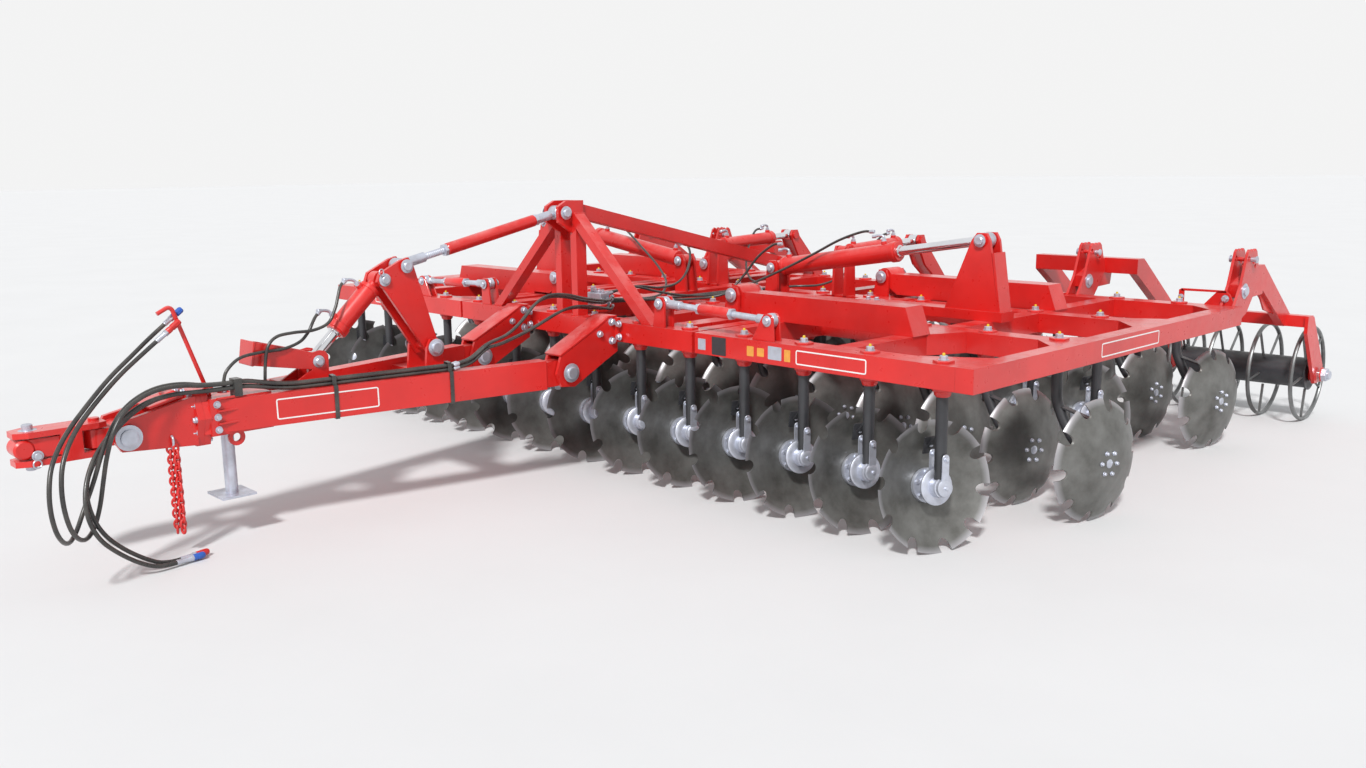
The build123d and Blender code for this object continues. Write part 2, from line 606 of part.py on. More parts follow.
def hose_along(points):
    radii = corner_radii(points)
    path = FilletPolyline(*points, radius=radii)
    hose = sweep(Plane(origin=path @ 0, z_dir=path % 0) * RegularPolygon(hose_radius, 8), path=path)
    section = RegularPolygon(hose_radius, 8).area
    print(f"hose {path.length:6.0f} long, arcs {min(radii):4.0f} to {max(radii):5.0f},",
          f"volume {hose.volume / section / path.length:.3f} of section x length")
    return hose


def build_hoses():
    py, pz = bar_pivot
    beam_start, beam_end = py - 140, flange_y + 10

    def on_beam(y, across, up):
        share = (y - beam_end) / (beam_start - beam_end)
        x = 85 + (bar_x - 85) * share
        top = bar_z + (pz - bar_z) * share + 85
        return (x + across, y, top + hose_radius + 0.5 + up)

    low, high = hose_decks
    bundle = block(hose_lanes[0] - 20, hose_lanes[1] + 20, hose_clamp_y, hose_clamp_y + 40, bar_z + 95, high + 20)
    for i, lane in enumerate(hose_lanes):
        for j, deck in enumerate(hose_decks):
            across, up = (i - 0.5) * bundle_pitch, j * bundle_pitch
            bundle += hose_along([(lane, hose_clamp_y + 10, deck), (lane, hose_clamp_y + 75, deck),
                                  on_beam(bundle_start, across, up), on_beam(bundle_end, across, up)])
    add("hose_bundle", bundle)
    for name, points in free_hoses.items():
        add(name, hose_along(points))
        crimp, whole = couplers[name]
        end = Vector(*points[-1])
        step = (end - Vector(*points[-2])).normalized()
        coupler = round_bar(tuple(end), tuple(end + step * crimp), crimp_radius)
        coupler += round_bar(tuple(end + step * (crimp - 5)), tuple(end + step * whole), coupler_radius)
        add("hose_couplers", coupler)


# ---- transport axle -------------------------------------------------------
axle_pivot = (frame_rear + 90, 860)
axle_pin = 35
axle_half = 725             # half length of the pivot tube
axle_arm_x = 330
wheel_x = 660
wheel_y = frame_front + 4280
rim_radius, spindle = 200, 35
lift_x = 640
lift_base = (frame_front + 2080, 1262)
lift_tip = (frame_front + 2960, 1300)


def build_axle():
    py, pz = axle_pivot
    axle = pin_x(-axle_half, axle_half, py, pz, 60) + pin_x(-axle_half - 50, axle_half + 50, py, pz, axle_pin)
    axle += pin_x(-wheel_x + 130, wheel_x - 130, wheel_y, tyre_radius, 50)
    axle += pin_x(-wheel_x - 90, wheel_x + 90, wheel_y, tyre_radius, spindle)
    gap = 35 + side_play
    for side in (-1, 1):
        arm = box_bar((side * axle_arm_x, py, pz), (side * axle_arm_x, wheel_y, tyre_radius), 90, 120)
        axle += arm
        for x in (side * lift_x - gap - 20, side * lift_x + gap):
            y, z = lift_tip
            axle += plate_x([(py - 55, pz - 30), (py + 60, pz - 30), (py + 70, pz + 90), (y + 60, z - 10), (y + 35, z + 45),
                             (y - 30, z + 45), (y - 50, z), (y + 60, z - 190), (py - 60, pz + 100)], x, x + 20)
        axle += pin_x(side * lift_x + gap + 20, side * lift_x + gap + 35, *lift_tip, 30)
        axle += pin_x(side * lift_x - gap - 35, side * lift_x - gap - 20, *lift_tip, 30)
        x0 = side * (axle_half + 8)
        add("axle_brackets", plate_x([(frame_rear, beam_bottom - 40), (frame_rear, frame_top), (py + 20, pz + 60),
                                      (py + 60, pz + 20), (py + 60, pz - 20), (py + 20, pz - 70)],
                                     x0, x0 + side * 25, [(py, pz, axle_pin + pin_play)]))
        lugs = pin_x(side * lift_x - gap - 35, side * lift_x + gap + 35, *lift_base, 20)
        for x in (side * lift_x - gap - 20, side * lift_x + gap):
            lugs += lug_x(*lift_base, 60, 45, x, x + 20, frame_top)
        add("axle_brackets", lugs)
        cylinder_pair("lift_barrels", "lift_rods", lift_base, lift_tip,
                      lambda u, z, v: (side * lift_x + v, u, z), (50, 28), 0.74, 20, 420)
        name = "left" if side > 0 else "right"
        low, high = side * wheel_x - tyre_width / 2, side * wheel_x + tyre_width / 2
        tyre = pin_x(low, high, wheel_y, tyre_radius, tyre_radius) - pin_x(low, high, wheel_y, tyre_radius, rim_radius)
        tyre = chamfer(tyre.edges().filter_by(GeomType.CIRCLE).filter_by(
            lambda edge: edge.radius > rim_radius + 1), 40)
        add(name + "_tyre", tyre)
        disc_x = side * (wheel_x + 20)
        rim = pin_x(low, high, wheel_y, tyre_radius, rim_radius)
        rim -= pin_x(low, high, wheel_y, tyre_radius, rim_radius - 14)
        rim += pin_x(disc_x - 8, disc_x + 8, wheel_y, tyre_radius, rim_radius - 5)
        rim += pin_x(disc_x - 50, disc_x + 50, wheel_y, tyre_radius, 70)
        rim -= pin_x(low, high, wheel_y, tyre_radius, spindle + pin_play)
        add(name + "_rim", rim)
    add("axle_frame", axle)


# ---- build and write ------------------------------------------------------
build_frames()
build_tools()
build_fold_arms()
build_fold_cylinders()
build_turnbuckles()
build_rollers()
build_tower()
build_drawbar()
build_hitch()
build_lever()
build_jack()
build_hose_holder()
build_hoses()
build_axle()

os.makedirs("parts", exist_ok=True)
for node, solids in nodes.items():
    shape = solids[0] if len(solids) == 1 else Compound(children=solids)
    export_step(shape, f"parts/{node}.step")
    print(f"{node:24s} {len(solids):3d} solids")
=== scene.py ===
import bpy
import random
from itertools import product
from math import acos, asin, atan2, cos, degrees, pi, radians, sin, sqrt
from mathutils import Matrix, Vector


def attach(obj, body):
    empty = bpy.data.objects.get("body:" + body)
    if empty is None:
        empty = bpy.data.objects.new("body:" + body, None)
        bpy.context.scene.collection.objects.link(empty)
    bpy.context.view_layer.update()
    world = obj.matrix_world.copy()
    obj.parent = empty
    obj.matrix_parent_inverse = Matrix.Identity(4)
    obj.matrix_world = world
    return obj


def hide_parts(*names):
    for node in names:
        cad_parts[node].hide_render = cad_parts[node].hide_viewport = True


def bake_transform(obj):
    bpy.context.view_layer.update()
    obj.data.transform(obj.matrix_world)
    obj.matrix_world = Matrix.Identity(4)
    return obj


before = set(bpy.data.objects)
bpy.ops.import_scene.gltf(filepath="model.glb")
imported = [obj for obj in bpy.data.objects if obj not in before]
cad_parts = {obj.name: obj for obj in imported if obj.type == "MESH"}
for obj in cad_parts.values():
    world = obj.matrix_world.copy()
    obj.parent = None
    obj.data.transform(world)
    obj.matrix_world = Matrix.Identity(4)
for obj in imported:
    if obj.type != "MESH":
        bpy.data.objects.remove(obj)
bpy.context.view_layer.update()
cadParts = [item for item in bpy.data.objects if item.type == "MESH"]
random.seed(7)
scene = bpy.context.scene
scene.view_settings.view_transform = "Standard"

# places that many pieces share, in metres: x to the left wing, y to the rear, z up
machine = {
    "frontFace": -0.785, "beamTop": 0.950, "beamBottom": 0.830, "beamMiddle": 0.890,
    "legPitch": 0.433, "rowY": [-0.705, 0.315, 1.315, 2.335], "centreHalf": 1.178,
    "headPin": (0, -0.816, 1.605), "leverTop": (0, -1.964, 1.348), "leverPivot": (0, -1.822, 0.871),
    "ramTop": (0, -2.100, 1.280), "ramFoot": (0, -2.526, 0.873), "hitchPin": (0, -3.548, 0.637),
}
toLeft, toRear, upward = (1, 0, 0), (0, 1, 0), (0, 0, 1)
halves = ((1, "left"), (-1, "right"))
wings = ((1, "left_wing"), (-1, "right_wing"))


def metres(points):
    # the long lists of points are written in millimetres
    return [tuple(value / 1000 for value in point) for point in points]


# a bag holds points, faces and material numbers
def newBag():
    return {"verts": [], "faces": [], "mats": [], "uvs": []}


def addFaces(bag, verts, faces, mat=0, uvs=None):
    start = len(bag["verts"])
    bag["verts"] += [tuple(v) for v in verts]
    bag["faces"] += [tuple(start + i for i in face) for face in faces]
    bag["mats"] += [mat] * len(faces)
    bag["uvs"] += uvs if uvs else [(0.0, 0.0)] * len(verts)


def addLoops(bag, loops, mat=0, closed=False, flip=False, uvs=None):
    # quads from each loop of points to the next; unless closed, both ends are capped
    count, total = len(loops[0]), len(loops)
    faces = []
    for ring in range(total if closed else total - 1):
        low, high = ring * count, (ring + 1) % total * count
        for i in range(count):
            j = (i + 1) % count
            faces.append((low + i, high + i, high + j, low + j) if flip else (low + i, low + j, high + j, high + i))
    if not closed:
        foot, top = tuple(range(count)), tuple((total - 1) * count + i for i in range(count))
        faces += [foot, top[::-1]] if flip else [foot[::-1], top]
    addFaces(bag, [p for loop in loops for p in loop], faces, mat, uvs)


def sideAxes(axis):
    helper = Vector(upward) if abs(axis.z) < 0.9 else Vector(toLeft)
    first = axis.cross(helper).normalized()
    return first, axis.cross(first).normalized()


def ellipse(centre, first, second, count, start=0.0, size=1.0):
    # points round an ellipse whose half axes are first and second, times size
    turns = [start + 2 * pi * i / count for i in range(count)]
    return [Vector(centre) + (first * cos(turn) + second * sin(turn)) * size for turn in turns]


def circle(centre, axis, radius, count, start=0.0):
    return ellipse(centre, *sideAxes(axis), count, start, radius)


def addTurned(bag, start, axis, profile, mat=0, sides=24):
    # profile: distance along the axis, radius
    axis = Vector(axis).normalized()
    loops = [circle(Vector(start) + axis * along, axis, radius, sides) for along, radius in profile]
    addLoops(bag, loops, mat, flip=True)


def addRod(bag, start, end, radius, mat=0, sides=16, chamfer=0.15):
    start, end = Vector(start), Vector(end)
    length = (end - start).length
    edge = min(radius * chamfer, length * 0.2)
    profile = [(0, radius - edge), (edge, radius), (length - edge, radius), (length, radius - edge)]
    addTurned(bag, start, end - start, profile, mat, sides)


def addTube(bag, points, radius, mat=0, sides=12, closed=False):
    points = [Vector(p) for p in points]
    ends = [points[-1]] + points + [points[0]] if closed else [points[0]] + points + [points[-1]]
    loops, up = [], None
    for before, point, after in zip(ends, points, ends[2:]):
        along = (after - before).normalized()
        up = up or sideAxes(along)[0]
        up = (up - along * up.dot(along)).normalized()
        loops.append(ellipse(point, up, along.cross(up), sides, 0.0, radius))
    addLoops(bag, loops, mat, closed)


def addRing(bag, centre, axis, profile, mat, sides):
    # profile: closed loop of (along the axis, radius)
    axis = Vector(axis).normalized()
    outs = circle((0, 0, 0), axis, 1, sides)
    addLoops(bag, [[Vector(centre) + axis * along + out * radius for along, radius in profile] for out in outs],
             mat, closed=True)


def smoothPath(points, steps=7):
    # a curve through the given points
    points = [Vector(p) for p in points]
    path = []
    pts = [2 * points[0] - points[1]] + points + [2 * points[-1] - points[-2]]
    for a, b, c, d in zip(pts, pts[1:], pts[2:], pts[3:]):
        for k in range(steps):
            t = k / steps
            path.append(0.5 * (2 * b + (c - a) * t + (2 * a - 5 * b + 4 * c - d) * t * t
                               + (3 * b - a - 3 * c + d) * t * t * t))
    return path + [points[-1]]


def addBlock(bag, centre, sizes, mat=0, turn=None, chamfer=0.002):
    # a box with chamfered edges; turn is a 3 x 3 matrix
    half = [s / 2 for s in sizes]
    edge = min(chamfer, min(half) * 0.5)
    turn = turn or Matrix.Identity(3)
    verts, faces, index = [], [], {}
    for signs in product((-1, 1), repeat=3):
        for k in range(3):
            p = [sign * (h if other == k else h - edge) for other, (sign, h) in enumerate(zip(signs, half))]
            index[(*signs, k)] = len(verts)
            verts.append(Vector(centre) + turn @ Vector(p))

    def corner(k, side, a, sa, b, sb, face):
        signs = [0, 0, 0]
        signs[k], signs[a], signs[b] = side, sa, sb
        return index[(*signs, face)]

    for k in range(3):
        a, b = [o for o in range(3) if o != k]
        for side in (-1, 1):
            loop = [corner(k, side, a, sa, b, sb, k) for sa, sb in ((-1, -1), (1, -1), (1, 1), (-1, 1))]
            faces.append(loop[::-1] if (side > 0) == (k == 1) else loop)
        for sa, sb in product((-1, 1), repeat=2):       # edges along axis k
            faces.append([corner(k, side, a, sa, b, sb, face) for side, face in ((-1, a), (1, a), (1, b), (-1, b))])
    faces += [[index[(*signs, k)] for k in range(3)] for signs in product((-1, 1), repeat=3)]
    addFaces(bag, verts, faces, mat)


def addPlate(bag, outline, origin, across, up, thickness, mat=0, chamfer=0.0015):
    # a flat plate from its outline in the (across, up) plane, both faces chamfered
    across, up = Vector(across).normalized(), Vector(up).normalized()
    normal = across.cross(up)
    middle = [sum(p[i] for p in outline) / len(outline) for i in (0, 1)]
    loops = []
    for depth, inset in ((0, chamfer), (chamfer, 0), (thickness - chamfer, 0), (thickness, chamfer)):
        loops.append([])
        for u, v in outline:
            du, dv = middle[0] - u, middle[1] - v
            share = inset / max(sqrt(du * du + dv * dv), 1e-6)
            loops[-1].append(Vector(origin) + across * (u + du * share) + up * (v + dv * share) + normal * depth)
    addLoops(bag, loops, mat)


def addBolt(bag, base, axis, width, mat=0, washer=True, tall=0.65):
    # a hexagon head on its washer
    axis, base = Vector(axis).normalized(), Vector(base)
    if washer:
        addTurned(bag, base, axis, [(0, width * 0.72), (width * 0.1, width * 0.72)], mat, 16)
        base = base + axis * width * 0.1
    radius, high = width / 2 / cos(pi / 6), width * tall
    addTurned(bag, base, axis, [(0, radius), (high * 0.85, radius), (high, radius * 0.86)], mat, 6)


def addPinHead(bag, place, axis, radius, mat=0):
    # washer and domed pin head
    addTurned(bag, place, axis, [(0, radius * 1.5), (0.004, radius * 1.5), (0.005, radius * 1.42)], mat, 24)
    start = Vector(place) + Vector(axis) * 0.004
    addTurned(bag, start, axis, [(0, radius), (0.012, radius), (0.016, radius * 0.82)], mat, 20)


def makePiece(name, bag, body, mats=None, smooth=30, hides=()):
    # red and zinc unless mats says otherwise; hides: the CAD nodes that it replaces
    mesh = bpy.data.meshes.new(name)
    mesh.from_pydata(bag["verts"], [], bag["faces"])
    for mat in mats or [redPaint, zinc]:
        mesh.materials.append(mat)
    mesh.polygons.foreach_set("material_index", bag["mats"])
    layer = mesh.uv_layers.new(name="across")
    layer.data.foreach_set("uv", [value for loop in mesh.loops for value in bag["uvs"][loop.vertex_index]])
    mesh.validate()
    mesh.update()
    piece = bpy.data.objects.new(name, mesh)
    scene.collection.objects.link(piece)
    mesh.shade_smooth()
    mesh.set_sharp_from_angle(angle=radians(smooth))
    if body:
        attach(piece, body)
    if hides:
        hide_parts(*hides)
    return piece


# finishes, all from noise and the surface itself
def feed(tree, node, inputs):
    # each input takes a value, or the output of another node
    for key, value in inputs.items():
        if isinstance(value, bpy.types.NodeSocket):
            tree.links.new(value, node.inputs[key])
        else:
            node.inputs[key].default_value = value


def addNode(tree, kind, settings=None, inputs=None):
    node = tree.nodes.new(kind)
    for key, value in (settings or {}).items():
        setattr(node, key, value)
    feed(tree, node, inputs or {})
    return node


def newMaterial(name):
    mat = bpy.data.materials.new(name)
    mat.use_nodes = True
    return mat, mat.node_tree, mat.node_tree.nodes["Principled BSDF"]


def remap(tree, value, low, high):
    levels = {"Value": value, "From Min": low, "From Max": high}
    return addNode(tree, "ShaderNodeMapRange", None, levels).outputs["Result"]


def noiseMask(tree, scale, low, high, detail=4.0, roughness=0.6, vector=None):
    # noise turned to a 0..1 mask between two levels
    vector = vector or addNode(tree, "ShaderNodeTexCoord").outputs["Object"]
    noise = {"Vector": vector, "Scale": scale, "Detail": detail, "Roughness": roughness}
    return remap(tree, addNode(tree, "ShaderNodeTexNoise", None, noise).outputs["Fac"], low, high)


def mixColour(tree, mask, first, second):
    ends = [(*value, 1) if isinstance(value, tuple) else value for value in (first, second)]
    return addNode(tree, "ShaderNodeMix", {"data_type": "RGBA"}, {0: mask, 6: ends[0], 7: ends[1]}).outputs[2]


def mixValue(tree, mask, first, second):
    spread = {"Value": mask, "To Min": first, "To Max": second}
    return addNode(tree, "ShaderNodeMapRange", None, spread).outputs["Result"]


def combine(tree, operation, first, second):
    return addNode(tree, "ShaderNodeMath", {"operation": operation}, {0: first, 1: second}).outputs[0]


def bumpFrom(tree, shader, height, strength, distance, softEdge=0.0):
    bump = addNode(tree, "ShaderNodeBump", None, {"Strength": strength, "Distance": distance, "Height": height})
    if softEdge:
        bevel = addNode(tree, "ShaderNodeBevel", {"samples": 3}, {"Radius": softEdge})
        feed(tree, bump, {"Normal": bevel.outputs["Normal"]})
    feed(tree, shader, {"Normal": bump.outputs["Normal"]})


def paintFinish(name, look):
    # sprayed enamel: slight orange peel, uneven tone, and dust mixed with a painted sky highlight on faces that look
    # up
    mat, tree, shader = newMaterial(name)
    tone = noiseMask(tree, look["toneScale"], 0.35, 0.65)
    base = mixColour(tree, tone, look["colour"], tuple(c * look["toneDrop"] for c in look["colour"]))
    normal = addNode(tree, "ShaderNodeNewGeometry").outputs["Normal"]
    rise = addNode(tree, "ShaderNodeSeparateXYZ", None, {0: normal}).outputs["Z"]
    # faces that look up turn towards the dust colour: partly dust, partly a painted highlight from the sky
    dustAndSheen = combine(tree, "MULTIPLY", remap(tree, rise, 0.2, 0.95), noiseMask(tree, 9.0, 0.42, 0.75, 8.0))
    dustAndSheen = combine(tree, "MULTIPLY", dustAndSheen, look["dustAndSheen"])
    feed(tree, shader, {
        "Base Color": mixColour(tree, dustAndSheen, base, look["dustAndSheenColour"]),
        "Roughness": mixValue(tree, noiseMask(tree, 22.0, 0.3, 0.7), *look["rough"]),
        "Specular IOR Level": 0.5, "Coat Weight": look["coat"], "Coat Roughness": look["coatRough"],
    })
    bumpFrom(tree, shader, noiseMask(tree, 420.0, 0.2, 0.8, 2.0), 0.12, 0.0006, look["softEdge"])
    return mat


def metalFinish(name, look):
    mat, tree, shader = newMaterial(name)
    stainScale, *stainBand = look["stain"]
    roughScale, *rough = look["rough"]
    grainScale, grain = look["grain"]
    feed(tree, shader, {
        "Base Color": mixColour(tree, noiseMask(tree, stainScale, *stainBand, 6.0), *look["colours"]),
        "Metallic": look["metallic"],
        "Roughness": mixValue(tree, noiseMask(tree, roughScale, 0.3, 0.7), *rough),
    })
    bumpFrom(tree, shader, noiseMask(tree, grainScale, 0.2, 0.8, 3.0), grain, 0.0005)
    return mat


def discFinish(name, look):
    # turned and worn steel: rings round the disc, earth stain, brighter worn rim; uv = (radius share, 0)
    mat, tree, shader = newMaterial(name)
    uv = addNode(tree, "ShaderNodeUVMap", {"uv_map": "across"}).outputs["UV"]
    reach = addNode(tree, "ShaderNodeSeparateXYZ", None, {0: uv}).outputs["X"]
    stretch = addNode(tree, "ShaderNodeMapping", None, {"Scale": look["ringScale"], "Vector": uv})
    rings = noiseMask(tree, 1.0, 0.3, 0.7, 3.0, 0.5, stretch.outputs["Vector"])
    base = mixColour(tree, noiseMask(tree, 5.5, 0.32, 0.68, 5.0), look["steel"], look["stain"])
    feed(tree, shader, {
        "Base Color": mixColour(tree, remap(tree, reach, *look["wornBand"]), base, look["worn"]),
        "Metallic": look["metallic"], "Roughness": mixValue(tree, rings, *look["rough"]),
    })
    bumpFrom(tree, shader, rings, 0.10, 0.0004)
    return mat


# both paints lighten their upward faces towards the dust colour: dust, plus a painted sky highlight
redLook = {
    "colour": (0.68, 0.017, 0.014), "toneScale": 2.2, "toneDrop": 0.82,
    "dustAndSheen": 0.34, "dustAndSheenColour": (0.80, 0.42, 0.40),
    "rough": (0.26, 0.40), "coat": 0.35, "coatRough": 0.12, "softEdge": 0.004,
}
darkLook = {
    "colour": (0.040, 0.041, 0.046), "toneScale": 5.0, "toneDrop": 0.6,
    "dustAndSheen": 0.22, "dustAndSheenColour": (0.20, 0.18, 0.16),
    "rough": (0.34, 0.55), "coat": 0.1, "coatRough": 0.3, "softEdge": 0.002,
}
discLook = {
    "steel": (0.21, 0.21, 0.20), "stain": (0.100, 0.098, 0.090), "worn": (0.42, 0.41, 0.43),
    "wornBand": (0.90, 1.02), "ringScale": (130, 0, 1), "metallic": 0.60, "rough": (0.30, 0.48),
}
# colours: clean, stained; stain: scale and band; rough: scale and range; grain: scale and strength
metalLooks = {
    "zinc": {"colours": ((0.60, 0.63, 0.72), (0.44, 0.45, 0.50)), "metallic": 0.65,
             "stain": (14.0, 0.35, 0.7), "rough": (40.0, 0.28, 0.46), "grain": (500.0, 0.08)},
    "ringSteel": {"colours": ((0.30, 0.31, 0.31), (0.12, 0.12, 0.12)), "metallic": 0.75,
                  "stain": (4.0, 0.30, 0.62), "rough": (30.0, 0.30, 0.50), "grain": (300.0, 0.08)},
    "chrome": {"colours": ((0.80, 0.81, 0.84), (0.66, 0.67, 0.70)), "metallic": 1.0,
               "stain": (5.0, 0.4, 0.8), "rough": (25.0, 0.06, 0.16), "grain": (300.0, 0.02)},
    "hoseRubber": {"colours": ((0.036, 0.035, 0.034), (0.080, 0.074, 0.066)), "metallic": 0.0,
                   "stain": (8.0, 0.4, 0.7), "rough": (60.0, 0.22, 0.38), "grain": (900.0, 0.15)},
    "tyreRubber": {"colours": ((0.024, 0.024, 0.025), (0.07, 0.064, 0.056)), "metallic": 0.0,
                   "stain": (6.0, 0.4, 0.75), "rough": (30.0, 0.62, 0.85), "grain": (260.0, 0.4)},
}
sheetLook = {"metallic": 0.0, "stain": (20.0, 0.45, 0.8), "rough": (50.0, 0.30, 0.48), "grain": (300.0, 0.05)}
sheetColours = {
    "whiteSheet": ((0.82, 0.80, 0.79), (0.68, 0.64, 0.62)),
    "greySheet": ((0.42, 0.44, 0.50), (0.32, 0.33, 0.36)),
    "orangeSheet": ((0.80, 0.36, 0.06), (0.62, 0.26, 0.05)),
    "yellowCap": ((0.78, 0.52, 0.03), (0.55, 0.36, 0.04)),
    "blueCap": ((0.03, 0.12, 0.50), (0.02, 0.08, 0.34)),
    "redCap": ((0.62, 0.025, 0.02), (0.42, 0.02, 0.018)),
}
redPaint = paintFinish("redPaint", redLook)
darkPaint = paintFinish("darkPaint", darkLook)
discSteel = discFinish("discSteel", discLook)
zinc, ringSteel, chrome, hoseRubber, tyreRubber = [metalFinish(name, look) for name, look in metalLooks.items()]
whiteSheet, greySheet, orangeSheet, yellowCap, blueCap, redCap = [
    metalFinish(name, {**sheetLook, "colours": colours}) for name, colours in sheetColours.items()]
print("finishes ready")

# the camera
viewpoint = {"place": (5.842, -5.344, 1.881), "turn": 0.8049, "dip": 0.187, "roll": -0.0114, "lens": 30.236}


def makeCamera():
    turn, dip, roll = viewpoint["turn"], viewpoint["dip"], viewpoint["roll"]
    backward = Vector((sin(turn) * cos(dip), -cos(turn) * cos(dip), sin(dip)))
    level = Vector((cos(turn), sin(turn), 0))
    rise = backward.cross(level)
    across = level * cos(roll) + rise * sin(roll)
    rise = rise * cos(roll) - level * sin(roll)
    lens = bpy.data.cameras.new("camera")
    lens.sensor_width = 36
    lens.lens = viewpoint["lens"]
    lens.clip_end = 200
    camera = bpy.data.objects.new("camera", lens)
    scene.collection.objects.link(camera)
    placed = Matrix((across, rise, backward)).transposed().to_4x4()
    placed.translation = Vector(viewpoint["place"])
    camera.matrix_world = placed
    scene.camera = camera


makeCamera()

# the four free hoses, in millimetres: two drop and climb to the holder, two lie with their ends on the ground
freeHoses = {
    "radius": 0.0105,
    "lengths": [2.771, 2.619, 1.627, 1.600],
    "ends": [(0.045, 0.110), (0.060, 0.145), (0.080, 0.145), (0.075, 0.147)],   # crimp, whole coupler
    "caps": [blueCap, redCap, blueCap, redCap],
    "routes": [
        [(130, -3030, 834), (130, -3155, 834), (136, -3285, 866), (162, -3430, 862), (204, -3569, 804),
         (242, -3657, 709), (261, -3714, 598), (252, -3754, 478), (255, -3806, 367), (315, -3869, 272),
         (412, -3933, 253), (515, -3995, 328), (549, -4021, 437), (540, -4017, 545), (495, -3983, 654),
         (413, -3889, 762), (310, -3758, 858), (180, -3616, 945), (95, -3477, 1024), (32, -3373, 1087),
         (32, -3291, 1150)],
        [(152, -3030, 834), (152, -3155, 834), (166, -3305, 862), (213, -3455, 856), (255, -3581, 804),
         (283, -3656, 711), (286, -3697, 595), (259, -3715, 474), (250, -3738, 351), (308, -3793, 263),
         (396, -3862, 249), (490, -3929, 321), (529, -3961, 428), (527, -3965, 541), (494, -3939, 655),
         (432, -3862, 765), (285, -3722, 850), (180, -3579, 942), (88, -3445, 1010), (88, -3355, 1078)],
        [(152, -3030, 808), (152, -3155, 808), (156, -3320, 822), (164, -3450, 806), (182, -3568, 752),
         (204, -3663, 667), (244, -3746, 583), (301, -3807, 478), (347, -3828, 359), (371, -3795, 239),
         (366, -3705, 143), (341, -3600, 62), (325, -3515, 24), (309, -3437, 24)],
        [(130, -3030, 808), (130, -3155, 808), (130, -3315, 815), (133, -3445, 792), (153, -3562, 728),
         (181, -3655, 642), (208, -3735, 558), (262, -3795, 468), (319, -3803, 357), (339, -3763, 248),
         (331, -3682, 158), (308, -3582, 78), (288, -3488, 24), (272, -3405, 24)],
    ],
}
couplerShape = {
    "ribPitch": 0.008, "rib": 0.0130, "groove": 0.0118, "neck": 0.0105,
    "nut": [(0, 0.0160), (0.016, 0.0160), (0.018, 0.0145)],
    # share of the sleeve's length, radius
    "sleeve": [(0, 0.0125), (0.1, 0.0155), (0.3, 0.0155), (0.32, 0.0140), (0.40, 0.0140), (0.42, 0.0165),
               (0.85, 0.0165), (0.93, 0.0150), (1, 0.0120)],
    "pullRing": (0.014, 0.009), "ringWire": 0.0028,
}


def makeFreeHose(number, route):
    name = "hose" + str(number)
    line = bpy.data.curves.new(name, "CURVE")
    line.dimensions = "3D"
    spline = line.splines.new("NURBS")
    spline.points.add(len(route) - 1)
    for knot, place in zip(spline.points, route):
        knot.co = (*place, 1)
    spline.order_u = 3
    spline.use_endpoint_u = True
    line.resolution_u = 14
    line.bevel_depth = freeHoses["radius"]
    line.bevel_resolution = 5
    line.use_fill_caps = True
    line.materials.append(hoseRubber)
    hose = bpy.data.objects.new(name, line)
    scene.collection.objects.link(hose)
    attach(hose, "drawbar")
    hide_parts("free_hose_" + str(number))


def makeCoupler(number, route, crimp, whole, cap):
    # ribbed crimp, hexagon, sleeve and dust cap
    bag = newBag()
    rib, groove, neck, pitch = (couplerShape[key] for key in ("rib", "groove", "neck", "ribPitch"))
    end = Vector(route[-1])
    along = (end - Vector(route[-2])).normalized()
    ribs = [(-0.004, 0.0115), (0.0, rib)]
    for i in range(int(crimp * 0.7 / pitch)):
        at = crimp * 0.08 + i * pitch
        ribs += [(at, rib), (at + 0.002, groove), (at + 0.004, groove), (at + 0.006, rib)]
    ribs += [(crimp * 0.86, rib), (crimp * 0.88, neck), (crimp, neck)]
    addTurned(bag, end, along, ribs, 0, 20)
    addTurned(bag, end + along * (crimp - 0.012), along, couplerShape["nut"], 0, 6)
    sleeve = [(share * (whole - crimp), radius) for share, radius in couplerShape["sleeve"]]
    addTurned(bag, end + along * crimp, along, sleeve, 1, 20)
    if number < 3:          # the cap's pull ring
        across = sideAxes(along)[0]
        centre = end + along * (whole - 0.022) + across * 0.018
        longHalf, wideHalf = couplerShape["pullRing"]
        addTube(bag, ellipse(centre, along * longHalf, across * wideHalf, 14), couplerShape["ringWire"], 1, 8, True)
    hides = ["hose_couplers"] if number == 1 else []
    return makePiece("coupler" + str(number), bag, "drawbar", [zinc, cap], 35, hides)


for i, points in enumerate(freeHoses["routes"]):
    route = metres(points)
    coupler = makeCoupler(i + 1, route, *freeHoses["ends"][i], freeHoses["caps"][i])
    makeFreeHose(i + 1, route)
print("camera and hoses ready")

# finishes for the parts whose shape is right already
boughtIn = {
    "left_fold_rod": chrome, "right_fold_rod": chrome, "lift_rods": chrome, "ram_rod": chrome,
    "jack_leg": zinc, "hose_bundle": hoseRubber,
}
for item in cadParts:
    item.data.materials.clear()
    item.data.materials.append(boughtIn.get(item.name, redPaint))

# the three sections that carry rows: body, CAD node's first name
owners = {"centre": ("frame", "centre"), "leftWing": ("left_wing", "left_wing"),
          "rightWing": ("right_wing", "right_wing")}
# the four rows of discs: how many, legs' shift, side of the hub, yaw, rise, leg's bend
rowPlan = [(14, 0.0, -1, 20, 8, 0.0), (14, 0.05, 1, 10, 0, 0.2), (13, 0.0, -1, 20, 8, 0.0), (13, 0.05, 1, 10, 0, 0.2)]


